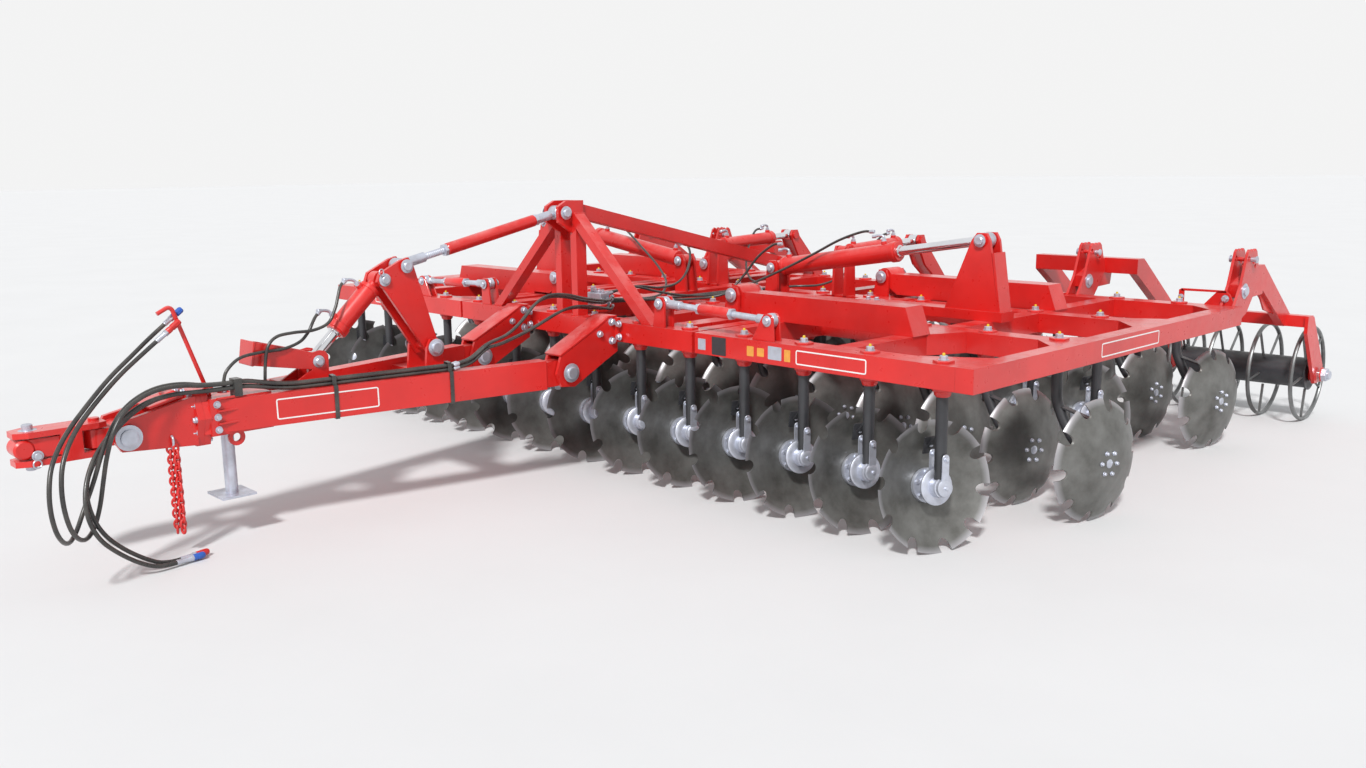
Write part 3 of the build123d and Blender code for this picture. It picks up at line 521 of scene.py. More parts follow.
def discPlaces():
    for row, (count, shift, side, yaw, rise, bend) in enumerate(rowPlan):
        yaw, rise = radians(yaw), radians(rise)
        axis = Vector((cos(yaw) * cos(rise), -sin(yaw) * cos(rise), sin(rise))) * side
        hubZ = discShape["radius"] * cos(rise) - axis.z * discShape["hubReach"]
        for i in range(count):
            x = (i - (count - 1) / 2) * machine["legPitch"] + shift
            owner = "centre" if abs(x) < machine["centreHalf"] else "leftWing" if x > 0 else "rightWing"
            yield owner, x, Vector((x + bend, machine["rowY"][row], hubZ)), axis, bend


def makeRowPieces(kind, fill, mats=None, smooth=30, node=None):
    # one piece for each section; fill adds what belongs to one disc place
    bags = {owner: newBag() for owner in owners}
    for owner, *place in discPlaces():
        fill(bags[owner], *place)
    for owner, bag in bags.items():
        body, first = owners[owner]
        makePiece(owner + kind, bag, body, mats, smooth, [first + node] if node else [])


discShape = {
    "radius": 0.330, "depth": 0.090, "wall": 0.008, "sharp": 0.005, "sunk": 0.003,
    "notches": 10, "biteRadius": 0.033, "biteSunk": 0.012, "biteDeep": 1.5,
    "rings": (0.10, 0.3, 0.5, 0.68, 0.80, 0.90, 1.0), "plainRing": 3,       # rings inside that one are round
    "hubReach": 0.040, "vertex": 0.130,
    "bolts": 6, "boltCircle": 0.062, "boltWidth": 0.017,
    "cap": [(-0.002, 0.024), (0.003, 0.024), (0.005, 0.021), (0.006, 0.010)],
}


def discGrid():
    # one disc's rim: angle, radius and an even angle for the rings inside; round bites between lobes
    grid = []
    radius, bite, sunk = discShape["radius"], discShape["biteRadius"], discShape["biteSunk"]
    deep = bite * discShape["biteDeep"]
    pitch = 360 / discShape["notches"]
    opening = acos(sunk / deep)
    mouth = degrees(asin(bite * sin(opening) / radius))
    for n in range(discShape["notches"]):
        for k in range(11):
            turn = opening + (2 * pi - 2 * opening) * k / 10
            across, out = -bite * sin(turn), radius - sunk + deep * cos(turn)
            steady = n * pitch + mouth * 1.3 * (k / 5 - 1)
            grid.append((n * pitch + degrees(atan2(across, out)), sqrt(across * across + out * out), steady))
        for k in (1, 2, 3, 4):
            angle = n * pitch + mouth + (pitch - 2 * mouth) * k / 5
            grid.append((angle, radius, angle))
    return grid


def addDisc(bag, vertex, axis, turn):
    first, second = sideAxes(axis)
    radius, depth, rings = discShape["radius"], discShape["depth"], discShape["rings"]
    ball = (radius * radius + depth * depth) / (2 * depth)
    plain = rings[discShape["plainRing"]] * radius
    loops, uvs = [], []
    for wall, shares in ((0.0, rings), (discShape["wall"], rings[::-1])):
        for share in shares:
            out = max(0.0, (share * radius - plain) / (radius - plain))
            loops.append([])
            for angle, rim, steady in discGrid():
                reach = share * radius if out == 0 else plain + (rim - plain) * out
                if wall == 0.0 and share == 1.0:
                    reach -= discShape["sharp"]
                sag = max(0.0, ball - sqrt(ball * ball - reach * reach) - discShape["sunk"])
                spin = radians(steady + (angle - steady) * out) + turn
                loops[-1].append(vertex + (first * cos(spin) + second * sin(spin)) * reach - axis * (sag + wall))
                uvs.append((reach / radius, 0.0))
    addLoops(bag, loops, 0, flip=True, uvs=uvs)


def fillDisc(bag, x, hub, axis, bend):
    turn = random.uniform(0, 2 * pi)
    vertex = hub + axis * discShape["vertex"]
    addDisc(bag, vertex, axis, turn)
    for place in circle(vertex - axis * 0.001, axis, discShape["boltCircle"], discShape["bolts"], turn):
        addBolt(bag, place, axis, discShape["boltWidth"], 1)
    addTurned(bag, vertex, axis, discShape["cap"], 1, 20)


makeRowPieces("Discs", fillDisc, [discSteel, zinc], 40, "_discs")
print("discs ready")

# legs with their hubs, straps, scrapers and the fixings on top of the beams
legShape = {
    "radius": 0.030, "middle": 0.600,
    # a curved leg's knees: share of the bend, shift, height over the hub
    "knees": [(0, 0, 0.36), (0, 0.012, 0.27), (0.45, 0, 0.12), (0.82, 0, 0.04), (1, 0, 0)],
    "collar": [(0, 0.052), (0.018, 0.052), (0.024, 0.044), (0.040, 0.040), (0.048, 0.034)],
}
# along the axis towards the disc, radius: end cap, body, flange, neck, flange against the disc
hubShape = {
    "profile": [(-0.052, 0.018), (-0.050, 0.036), (-0.046, 0.043), (-0.030, 0.045), (-0.028, 0.050), (0.016, 0.052),
                (0.018, 0.084), (0.023, 0.092), (0.033, 0.092), (0.038, 0.088), (0.040, 0.060), (0.082, 0.056),
                (0.090, 0.060), (0.094, 0.086), (0.098, 0.0875), (0.116, 0.0875), (0.119, 0.085)],
    "boltPlane": 0.096, "boltCircle": 0.070, "boltWidth": 0.020, "end": 0.050, "endBolt": 0.016,
}
strapShape = {"top": 0.50, "foot": 0.045, "half": 0.020, "thick": 0.007, "bolt": 0.018, "boltDown": 0.024,
              "places": ((-0.045, 0.0), (0.060, 0.020))}           # along the axis, lift
scraperShape = {"gap": 0.062, "high": 0.205, "lean": 0.34, "wide": 0.075, "tall": 0.090, "thick": 0.007,
                "fixed": 0.600, "bar": (0.040, 0.010), "barBehind": 0.010, "bolt": 0.018, "boltBehind": 0.005}
# turned parts on the beam above each leg: height, profile, material, sides
legCap = [(0, [(0, 0.052), (0.010, 0.052), (0.012, 0.050)], 0, 6),
          (0.012, [(0, 0.026), (0.003, 0.026)], 1, 20),
          (0.015, [(0, 0.021), (0.016, 0.021), (0.019, 0.017)], 1, 6),
          (0.034, [(0, 0.007), (0.006, 0.008), (0.012, 0.006)], 2, 12)]


def addLeg(bag, x, hub, axis, bend):
    y, top = hub.y, machine["beamBottom"]
    if bend:
        knees = [(x + share * bend + shift, y, hub.z + high) for share, shift, high in legShape["knees"]]
        addTube(bag, smoothPath([(x, y, top)] + knees), legShape["radius"], 0, 16)
    else:
        addTube(bag, [(x, y, top), (x, y, legShape["middle"]), (x, y, hub.z)], legShape["radius"], 0, 16)
    addTurned(bag, (x, y, top + 0.002), (0, 0, -1), legShape["collar"], 2, 20)
    addTurned(bag, hub, axis, hubShape["profile"], 1, 28)
    for place in circle(hub + axis * hubShape["boltPlane"], axis, hubShape["boltCircle"], 6, 0.4):
        addBolt(bag, place, -axis, hubShape["boltWidth"], 1, False, 0.9)
    addBolt(bag, hub - axis * hubShape["end"], -axis, hubShape["endBolt"], 1)


def addStraps(bag, hub, axis):
    # zinc straps that stand up from the hub on both sides of the leg, rounded at their tops
    side = Vector(upward).cross(axis).normalized()
    half, high = strapShape["half"], strapShape["top"] - hub.z
    outline = [(-half, -strapShape["foot"]), (half, -strapShape["foot"])]
    outline += [(half * cos(pi * k / 8), high - half + half * sin(pi * k / 8)) for k in range(9)]
    for along, lift in strapShape["places"]:
        start = hub + axis * along + Vector((0, 0, lift))
        addPlate(bag, outline, start, side, upward, strapShape["thick"], 1)
        place = start + Vector((0, 0, high - strapShape["boltDown"])) - axis * 0.001
        addBolt(bag, place, -axis, strapShape["bolt"], 1)


def addScraper(bag, x, hub, axis):
    # bar from the leg to a blade that stands parallel to the hollow face of the disc
    side = Vector(upward).cross(axis).normalized()
    upright = axis.cross(side).normalized()
    fixed = Vector((x, hub.y, scraperShape["fixed"]))
    blade = hub + axis * scraperShape["gap"] + upright * scraperShape["high"]
    lean = (upright - axis * scraperShape["lean"]).normalized()
    turn = Matrix((side, lean, side.cross(lean))).transposed()
    addBlock(bag, blade, (scraperShape["wide"], scraperShape["tall"], scraperShape["thick"]), 0, turn)
    tip = blade - axis * scraperShape["barBehind"]
    along = (tip - fixed).normalized()
    cross = along.cross(side).normalized()
    turn = Matrix((cross.cross(along), along, cross)).transposed()
    wide, thick = scraperShape["bar"]
    addBlock(bag, (fixed + tip) / 2, (wide, (tip - fixed).length, thick), 0, turn)
    addBolt(bag, blade - axis * scraperShape["boltBehind"], -axis, scraperShape["bolt"], 1, False)


def fillLeg(bag, x, hub, axis, bend):
    addLeg(bag, x, hub, axis, bend)
    addStraps(bag, hub, axis)
    addScraper(bag, x, hub, axis)


def fillLegCap(bag, x, hub, axis, bend):
    for high, profile, mat, sides in legCap:
        addTurned(bag, (x, hub.y, machine["beamTop"] + high), upward, profile, mat, sides)


makeRowPieces("Legs", fillLeg, [darkPaint, zinc, redPaint], 35, "_legs")
makeRowPieces("LegCaps", fillLegCap, [redPaint, zinc, yellowCap])
print("legs ready")

# rollers: thin rings on straight spokes round a dark core
rollerShape = {
    "y": 3.665, "radius": 0.350, "core": 0.110, "shaft": (1.345, 3.155), "shaftRadius": 0.030,
    "sections": [(1.420, 2.075, 3), (2.165, 3.080, 4)],         # from, to, rings
    "flange": 0.012, "flangeOut": 0.012, "edge": 0.004, "inset": 0.020, "bar": (0.015, 0.013), "barMiddle": 0.0135,
    "spokes": 5, "spoke": (0.018, 0.009), "spokeShort": 0.012, "firstSpoke": 45,
}


def addRollerRing(bag, centre):
    radius, core, (wide, thick) = rollerShape["radius"], rollerShape["core"], rollerShape["spoke"]
    along, high = rollerShape["bar"]
    turns = [2 * pi * k / 10 for k in range(10)]
    profile = [(along * cos(turn), radius - rollerShape["barMiddle"] + high * sin(turn)) for turn in turns]
    addRing(bag, centre, toLeft, profile, 0, 72)
    for k in range(rollerShape["spokes"]):
        turn = radians(rollerShape["firstSpoke"] + 360 / rollerShape["spokes"] * k)
        out, around = Vector((0, cos(turn), sin(turn))), Vector((0, -sin(turn), cos(turn)))
        spokeTurn = Matrix((Vector(toLeft), out, around)).transposed()
        sizes = (wide, radius - core - rollerShape["spokeShort"], thick)
        addBlock(bag, Vector(centre) + out * (core + radius) / 2, sizes, 0, spokeTurn)


def makeRoller(side, name):
    bag = newBag()
    y, radius, core = rollerShape["y"], rollerShape["radius"], rollerShape["core"]
    flange, inset, rim = rollerShape["flange"], rollerShape["inset"], rollerShape["edge"]
    disc = [(0, core + rollerShape["flangeOut"]), (flange, core + rollerShape["flangeOut"])]
    low, high = rollerShape["shaft"]
    addRod(bag, (side * low, y, radius), (side * high, y, radius), rollerShape["shaftRadius"], 2, 24)
    for start, end, count in rollerShape["sections"]:
        width = end - start
        tube = [(0, core - rim), (rim, core), (width - rim, core), (width, core - rim)]
        addTurned(bag, (side * start, y, radius), (side, 0, 0), tube, 1, 32)
        for edge in (start, end - flange):
            addTurned(bag, (side * edge, y, radius), (side, 0, 0), disc, 1, 32)
        for i in range(count):
            addRollerRing(bag, (side * (start + inset + i * (width - 2 * inset) / (count - 1)), y, radius))
    body = name + "_roller"
    makePiece(name + "Roller", bag, body, [ringSteel, darkPaint, chrome], 35, [body])


for side, name in halves:
    makeRoller(side, name)
print("rollers ready")

# transport tyres with grooved tread
tyreShape = {
    "y": 3.495, "x": 0.660, "radius": 0.400, "width": 0.290, "rim": 0.200, "sides": 192,
    # from the bead to the shoulder: share of the half width, height over the rim or under the tread
    "sidewall": [(0.72, 0), (0.94, 0.03), (1, 0.08)],
    "shoulder": [(1, 0.075), (0.95, 0.04), (0.88, 0.018), (0.80, 0.004)],
    "tread": [0.74, 0.66, 0.60, 0.34, 0.28, 0.22, 0.05, 0.0], "grooves": (0.66, 0.28, 0.0),
    "groove": 0.010, "crown": 0.003, "slot": 0.009, "slotBand": 0.05, "lean": 0.03, "bore": (0.70, 0.004),
    "nuts": 6, "nutCircle": 0.110, "nutWidth": 0.024, "nutPlane": 0.020, "nutRise": 0.008,
}


def tyreProfile():
    half, outer, inner = tyreShape["width"] / 2, tyreShape["radius"], tyreShape["rim"]
    side = [(-half * share, inner + high) for share, high in tyreShape["sidewall"]]
    side += [(-half * share, outer - deep) for share, deep in tyreShape["shoulder"]]
    for share in tyreShape["tread"]:
        groove = tyreShape["groove"] if share in tyreShape["grooves"] else 0.0
        side.append((-half * share, outer - groove - tyreShape["crown"] * share * share))
    profile = side + [(-along, radius) for along, radius in side[-2::-1]]
    share, deep = tyreShape["bore"]
    return profile + [(half * share, inner - deep), (-half * share, inner - deep)]


def makeTyre(side, name):
    bag, body = newBag(), name + "_wheel"
    x, y, outer, sides = side * tyreShape["x"], tyreShape["y"], tyreShape["radius"], tyreShape["sides"]
    loops = []
    for i in range(sides):
        loops.append([])
        for along, radius in tyreProfile():
            slotted = i % 8 in (0, 1) and radius > outer - tyreShape["slotBand"]
            reach = radius - (tyreShape["slot"] if slotted else 0.0)
            angle = 2 * pi * i / sides + tyreShape["lean"] * along / (tyreShape["width"] / 2)
            loops[-1].append((x + along, y + reach * cos(angle), outer + reach * sin(angle)))
    addLoops(bag, loops, closed=True, flip=True)
    makePiece(name + "Tyre", bag, body, [tyreRubber], 28, [name + "_tyre"])
    nuts = newBag()
    for k in range(tyreShape["nuts"]):
        turn = 2 * pi * k / tyreShape["nuts"]
        for face in (-1, 1):
            reach, across = tyreShape["nutCircle"], side * tyreShape["nutPlane"]
            place = (x + across + face * tyreShape["nutRise"], y + reach * cos(turn), outer + reach * sin(turn))
            addBolt(nuts, place, (face, 0, 0), tyreShape["nutWidth"])
    makePiece(name + "WheelNuts", nuts, body, [zinc], 35)


for side, name in halves:
    makeTyre(side, name)
print("tyres ready")


# fixings and pins, body by body: place on the surface, direction, width across flats or radius
def bothEnds(centre, axis, reach, size):
    # the same fixing on both faces of what it holds
    return [(tuple(c + face * reach * a for c, a in zip(centre, axis)), tuple(face * a for a in axis), size)
            for face in (-1, 1)]


def bothSides(rows):
    # each row again on the other wing, mirrored
    return rows + [((-place[0], *place[1:]), (-axis[0], *axis[1:]), size) for place, axis, size in rows]


def makeFixings(name, body, rows, add=addBolt):
    bag = newBag()
    for place, axis, size in rows:
        add(bag, place, axis, size)
    makePiece(name, bag, body, [zinc])


fixings = {
    "framePins": [((0.900, -0.045, 1.090), toRear, 0.123, 0.030), ((0.900, 1.515, 1.090), toRear, 0.123, 0.030),
                  ((0.470, 0.765, 1.180), toRear, 0.078, 0.024), ((0.900, -0.735, 1.090), toRear, 0.048, 0.022),
                  ((0.450, -1.165, 0.685), toLeft, 0.091, 0.038)],
    "drawbarPins": [(machine["leverPivot"], toLeft, 0.126, 0.034), (machine["ramFoot"], toLeft, 0.080, 0.022),
                    (machine["hitchPin"], toLeft, 0.150, 0.042)],
    "leverPins": [(machine["leverTop"], toLeft, 0.092, 0.026), (machine["ramTop"], toLeft, 0.078, 0.024)],
    "bracketBolts": [((0.450, -0.830, 0.955), toLeft, 0.071, 0.034), ((0.450, -0.830, 0.840), toLeft, 0.071, 0.034),
                     ((0.450, -0.925, 0.890), toLeft, 0.071, 0.030)],
    "flangeSides": [((0, -3.120, z), toLeft, 0.155, 0.026) for z in (0.735, 0.670, 0.605)],
    # x and z of the bolts on each half of the flange
    "flange": [(0.085, 0.790), (0.138, 0.670), (0.085, 0.552), (0.118, 0.738), (0.118, 0.602)],
    "flangeMiddle": [(0.0, 0.796), (0.0, 0.546)],
}


def pairsOf(name):
    return [row for fixing in fixings[name] for row in bothEnds(*fixing)]


headPins = bothEnds(machine["headPin"], toLeft, 0.093, 0.028)
makeFixings("framePins", "frame", bothSides(pairsOf("framePins")) + headPins, addPinHead)
makeFixings("drawbarPins", "drawbar", pairsOf("drawbarPins"), addPinHead)
makeFixings("leverPins", "lever", pairsOf("leverPins"), addPinHead)
footBolts = [((x, -0.806, z), (0, -1, 0), 0.030) for x in (0.330, 0.570) for z in (0.865, 0.945)]
makeFixings("bracketBolts", "frame", bothSides(pairsOf("bracketBolts") + footBolts))
flangeBolts = fixings["flange"] + [(-x, z) for x, z in fixings["flange"]] + fixings["flangeMiddle"]
makeFixings("flangeBolts", "drawbar", pairsOf("flangeSides") + [
    row for x, z in flangeBolts for row in bothEnds((x, -3.185, z), toRear, 0.035, 0.024)])
print("fixings ready")

# threaded links: zinc ends with jam nuts, paint in the middle; shares of the length where the tube starts and ends
threadShape = {"pitch": 0.012, "root": 0.90, "nut": 1.75, "nutEdge": 1.6, "nutLong": 0.022}
linkShape = {"shares": (0.28, 0.84), "tube": 0.036, "rod": 0.021, "eyeHalf": 0.040, "eyes": (0.042, 0.045),
             "shank": 0.029, "shanks": ((0.05, 0.15), (0.85, 0.95))}
buckleShape = {
    "y": -0.735, "inner": (0.900, 1.090), "outer": (1.740, 1.060),
    "shares": (0.36, 0.64), "tube": 0.033, "rod": 0.019, "eyeHalf": 0.020, "eyes": (0.040, 0.040),
    "shank": 0.026, "shanks": ((0.025, 0.17), (0.885, 1.03)),
    "lug": [(-0.110, 0.950), (0.050, 0.950), (0.040, 1.075), (0.026, 1.094), (0.0, 1.100), (-0.026, 1.094),
            (-0.040, 1.075)],
    "lugWall": 0.012, "lugGap": 0.020, "pin": 0.020,
}


def addEye(bag, place, axis, half, radius, mat=1):
    start = Vector(place) - Vector(axis) * half
    low = radius * 0.92
    addTurned(bag, start, axis, [(0, low), (0.004, radius), (2 * half - 0.004, radius), (2 * half, low)], mat, 24)


def addThreadedLink(bag, start, end, axis, shape):
    start, end = Vector(start), Vector(end)
    along, length = (end - start).normalized(), (end - start).length
    low, high = (share * length for share in shape["shares"])
    tube, rod, pitch = shape["tube"], shape["rod"], threadShape["pitch"]

    def threads(first, room):
        ats = [first + i * pitch for i in range(int((room - 0.05) / pitch))]
        return [row for at in ats for row in ((at, rod), (at + pitch / 2, rod * threadShape["root"]))]

    rest = length - high
    addTurned(bag, start, along, [(0, rod)] + threads(0.05, low) + [(low, rod), (low + 0.03, rod)], 1, 16)
    addTurned(bag, start + along * high, along,
              [(-0.03, rod), (0, rod)] + threads(0.004, rest) + [(rest - 0.045, rod), (rest, rod)], 1, 16)
    nut, edge, nutLong = rod * threadShape["nut"], rod * threadShape["nutEdge"], threadShape["nutLong"]
    addTurned(bag, start + along * (low - nutLong), along, [(0, nut), (0.020, nut), (nutLong, edge)], 1, 6)
    addTurned(bag, start + along * high, along, [(0, edge), (0.002, nut), (nutLong, nut)], 1, 6)
    body = [(0, tube * 0.9), (0.006, tube), (high - low - 0.006, tube), (high - low, tube * 0.9)]
    addTurned(bag, start + along * low, along, body, 0, 24)
    for place, radius in zip((start, end), shape["eyes"]):
        addEye(bag, place, axis, shape["eyeHalf"], radius)
    for first, last in shape["shanks"]:         # wider shanks next to the eyes
        addRod(bag, start.lerp(end, first), start.lerp(end, last), shape["shank"], 1, 20)


def makeTurnbuckle(side, name):
    bag = newBag()
    y, wall, (x, z) = buckleShape["y"], buckleShape["lugWall"], buckleShape["outer"]
    start, x = (side * buckleShape["inner"][0], y, buckleShape["inner"][1]), side * x
    addThreadedLink(bag, start, (x, y, z), toRear, buckleShape)
    outline = [(side * u, v) for u, v in buckleShape["lug"]][::side]
    gap = buckleShape["lugGap"]
    for face, behind in ((1, gap + wall), (-1, -gap)):
        addPlate(bag, outline, (x, y + behind, 0), toLeft, upward, wall)
        addPinHead(bag, (x, y + face * (gap + wall), z), (0, face, 0), buckleShape["pin"], 1)
    makePiece(name + "_wing_turnlink", bag, name + "_wing", hides=[name + "_turnbuckle"])


bag = newBag()
addThreadedLink(bag, machine["leverTop"], machine["headPin"], toLeft, linkShape)
makePiece("topLink", bag, "top_link", hides=["top_link"])
for side, name in halves:
    makeTurnbuckle(side, name)

# cylinders: glands, ports and elbows; share of the length at the barrel's mouth, ports along the barrel
cylinders = {
    "fold": {"base": (0.470, 0.765, 1.180), "tip": (2.130, 0.765, 1.430), "share": 0.62,
             "barrel": 0.060, "rod": 0.030, "ports": (0.115, 0.930), "out": (-1, -0.3, -0.1), "up": upward},
    "lift": {"base": (0.640, 1.295, 1.262), "tip": (0.640, 2.175, 1.300), "share": 0.74,
             "barrel": 0.050, "rod": 0.028, "ports": (0.110, 0.600), "out": (0, -1, 0), "up": upward},
    "ram": {"base": machine["ramTop"], "tip": machine["ramFoot"], "share": 0.66,
            "barrel": 0.055, "rod": 0.030, "ports": (0.105, 0.330), "out": (0.25, -1, 0.1), "up": (0, -1, 1)},
}
# turned parts along the axis; nut and cap are over the barrel's radius, seal over the rod's
glandShape = {
    "nut": [(0, 0.001), (0.004, 0.007), (0.040, 0.007), (0.044, 0.001)], "nutBack": 0.052,
    "seal": [(-0.002, 0.010), (0.010, 0.010), (0.014, 0.0015)],
    "cap": [(0, -0.006), (0.004, 0.004), (0.026, 0.004), (0.030, -0.002)], "capAt": 0.062,
    "port": [(0, 0.020), (0.018, 0.020), (0.020, 0.017)], "portSunk": 0.004,
    "portNut": [(0, 0.016), (0.014, 0.016)], "elbow": 0.009,
    "elbowNut": [(0, 0.013), (0.022, 0.013), (0.024, 0.011)],
}
foldEye = {"half": 0.035, "radius": 0.046, "headReach": 0.078, "head": 0.026}


def addGland(bag, shape, side=1):
    # gland nut at the barrel's mouth, a welded cap at its foot, and ports with elbows
    base, tip, out, up = (Vector((side * shape[key][0], *shape[key][1:])) for key in ("base", "tip", "out", "up"))
    barrel = shape["barrel"]
    along = (tip - base).normalized()
    mouth = (tip - base).length * shape["share"]
    for kind, at, radius, mat, sides in (("nut", mouth - glandShape["nutBack"], barrel, 0, 28),
                                         ("seal", mouth, shape["rod"], 2, 24),
                                         ("cap", glandShape["capAt"], barrel, 0, 28)):
        profile = [(reach, radius + over) for reach, over in glandShape[kind]]
        addTurned(bag, base + along * at, along, profile, mat, sides)
    up = (up - along * up.dot(along)).normalized()
    for at in shape["ports"]:
        place = base + along * at + up * (barrel - glandShape["portSunk"])
        addTurned(bag, place, up, glandShape["port"], 0, 20)
        addTurned(bag, place + up * 0.020, up, glandShape["portNut"], 1, 6)
        knee = place + up * 0.052
        path = smoothPath([place + up * 0.030, knee, knee + (out + up * 0.35).normalized() * 0.030,
                           knee + out.normalized() * 0.055 + up * 0.004], 4)
        addTube(bag, path, glandShape["elbow"], 1, 12)
        addTurned(bag, path[-1] - out.normalized() * 0.004, out, glandShape["elbowNut"], 1, 6)


def makeGlands(name, body, shape, sides):
    bag = newBag()
    for side in sides:
        addGland(bag, shape, side)
    makePiece(name, bag, body, [redPaint, zinc, chrome])


for side, name in halves:
    makeGlands(name + "FoldGland", name + "_fold_barrel", cylinders["fold"], (side,))
makeGlands("liftGlands", "lift_barrels", cylinders["lift"], (-1, 1))
makeGlands("ramGland", "ram_barrel", cylinders["ram"], (1,))
for side, name in halves:
    bag = newBag()
    x, y, z = cylinders["fold"]["tip"]
    addEye(bag, (side * x, y, z), toRear, foldEye["half"], foldEye["radius"], 0)
    for place, axis, size in bothEnds((side * x, y, z), toRear, foldEye["headReach"], foldEye["head"]):
        addPinHead(bag, place, axis, size)
    makePiece(name + "FoldEye", bag, name + "_fold_rod", [zinc])
print("cylinders ready")

# hydraulic lines: smooth tubes through these points, in millimetres
lineShape = {"radius": 0.0085, "sunk": 0.006,
             "fitting": [(0, 0.011), (0.004, 0.0125), (0.034, 0.0125), (0.038, 0.009)]}
lineRoutes = {
    "left": [
        [(520, 745, 1345), (450, 735, 1335), (340, 700, 1250), (260, 640, 1120), (200, 540, 1010),
         (130, 420, 985), (70, 200, 1000), (40, 0, 1040), (30, -220, 1090), (20, -420, 1060)],
        [(1310, 745, 1455), (1220, 735, 1450), (1050, 710, 1390), (860, 670, 1290), (620, 610, 1170),
         (400, 500, 1060), (240, 380, 990), (120, 200, 975), (50, -60, 990), (20, -420, 1020)]],
    "right": [
        [(-520, 745, 1345), (-450, 735, 1335), (-340, 690, 1250), (-240, 560, 1130), (-140, 360, 1060),
         (-70, 120, 1050), (-30, -120, 1080), (-20, -420, 1060)],
        [(-1310, 745, 1455), (-1220, 735, 1450), (-1050, 700, 1380), (-820, 640, 1270), (-560, 560, 1150),
         (-340, 440, 1050), (-180, 240, 990), (-80, -20, 985), (-20, -420, 1020)]],
    "frame": [
        [(640, 1830, 1372), (640, 1740, 1352), (600, 1620, 1240), (500, 1480, 1080), (360, 1380, 1000),
         (180, 1260, 985), (60, 1000, 975), (20, 600, 975), (0, 200, 980), (0, -420, 1000)],
        [(-640, 1830, 1372), (-640, 1740, 1352), (-600, 1620, 1240), (-500, 1480, 1080), (-360, 1380, 1000),
         (-180, 1260, 985), (-60, 1000, 975), (-30, 600, 975), (-20, 200, 980), (-20, -420, 1000)]],
    "ram": [
        [(13, -2305, 1290), (30, -2345, 1262), (50, -2375, 1205), (66, -2402, 1150), (75, -2452, 1075),
         (85, -2546, 1045), (94, -2663, 1045), (103, -2759, 1035), (110, -2813, 991), (112, -2835, 908),
         (108, -2845, 785)],
        [(13, -2468, 1134), (40, -2510, 1106), (56, -2540, 1070), (63, -2565, 1035), (74, -2621, 990),
         (86, -2722, 964), (97, -2853, 962), (108, -2964, 948), (117, -3036, 899), (120, -3060, 850),
         (120, -3064, 790)]],
    "cross": [
        [(333, -1852, 777), (340, -1740, 800), (350, -1640, 866), (352, -1520, 886), (344, -1320, 940),
         (324, -1080, 1020), (300, -930, 1034), (250, -760, 1010), (180, -580, 990), (60, -450, 1000)],
        [(355, -1852, 777), (362, -1740, 800), (372, -1640, 868), (372, -1520, 890), (366, -1320, 946),
         (346, -1080, 1028), (320, -930, 1044), (270, -750, 1020), (200, -560, 985), (80, -440, 985)],
        [(333, -1852, 799), (340, -1740, 822), (352, -1630, 890), (362, -1500, 930), (362, -1400, 990),
         (360, -1290, 1085), (352, -1180, 1122), (340, -1040, 1112), (300, -860, 1070), (200, -620, 1030),
         (60, -460, 1030)],
        [(355, -1852, 799), (364, -1740, 824), (378, -1630, 896), (386, -1500, 940), (386, -1400, 1004),
         (384, -1290, 1100), (374, -1180, 1138), (360, -1040, 1128), (320, -860, 1086), (220, -600, 1044),
         (80, -440, 1046)]],
}


def makeLines(name, body, routes):
    bag = newBag()
    for points in routes:
        route = [Vector(p) for p in metres(points)]
        addTube(bag, smoothPath(route, 8), lineShape["radius"], 0, 10)
        for end, before in ((route[0], route[1]), (route[-1], route[-2])):
            along = (before - end).normalized()
            addTurned(bag, end - along * lineShape["sunk"], along, lineShape["fitting"], 1, 14)
    return makePiece(name, bag, body, [hoseRubber, zinc], 40)


makeLines("frameLines", "frame", lineRoutes["frame"])
for side, name in halves:
    foldLines = makeLines(name + "FoldLines", None, lineRoutes[name])
    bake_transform(foldLines)
makeLines("ramLines", "drawbar", lineRoutes["ram"])
crossing = makeLines("crossLines", None, lineRoutes["cross"])
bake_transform(crossing)

# valve block that the lines meet at, on the front beam behind the tower's foot
manifold = {"plate": ((0, -0.520, 0.975), (0.200, 0.120, 0.050)),
            "block": ((0, -0.500, 1.035), (0.150, 0.080, 0.075)),
            "plugs": 4, "plugPitch": 0.036, "plugPlace": (-0.500, 1.072),
            "plug": [(0, 0.013), (0.012, 0.013), (0.016, 0.010), (0.024, 0.010)]}
bag = newBag()
addBlock(bag, *manifold["plate"], 0, None, 0.004)
addBlock(bag, *manifold["block"], 1, None, 0.004)
for i in range(manifold["plugs"]):
    x = (i - (manifold["plugs"] - 1) / 2) * manifold["plugPitch"]
    addTurned(bag, (x, *manifold["plugPlace"]), upward, manifold["plug"], 1, 6)
makePiece("manifold", bag, "frame")
print("lines ready")

# black straps that hold the bundle to the drawbar's near beam, whose middle runs from start along run
beamLine = {"start": (0.085, -3.175, 0.670), "run": (0.365, 1.870, 0.015)}
bundleStrap = {
    "ys": (-2.520, -1.885), "edge": 0.011, "thick": 0.003, "growth": 0.06,
    "loop": [(-0.0535, -0.0885), (0.0535, -0.0885), (0.0535, 0.0865), (0.030, 0.0905), (0.030, 0.1365),
             (-0.030, 0.1365), (-0.030, 0.0905), (-0.0535, 0.0865)],
}


def beamFrame(y):
    start, run = Vector(beamLine["start"]), Vector(beamLine["run"])
    along = run.normalized()
    return start + run * ((y - start.y) / run.y), along, Vector((along.y, -along.x, 0)).normalized()


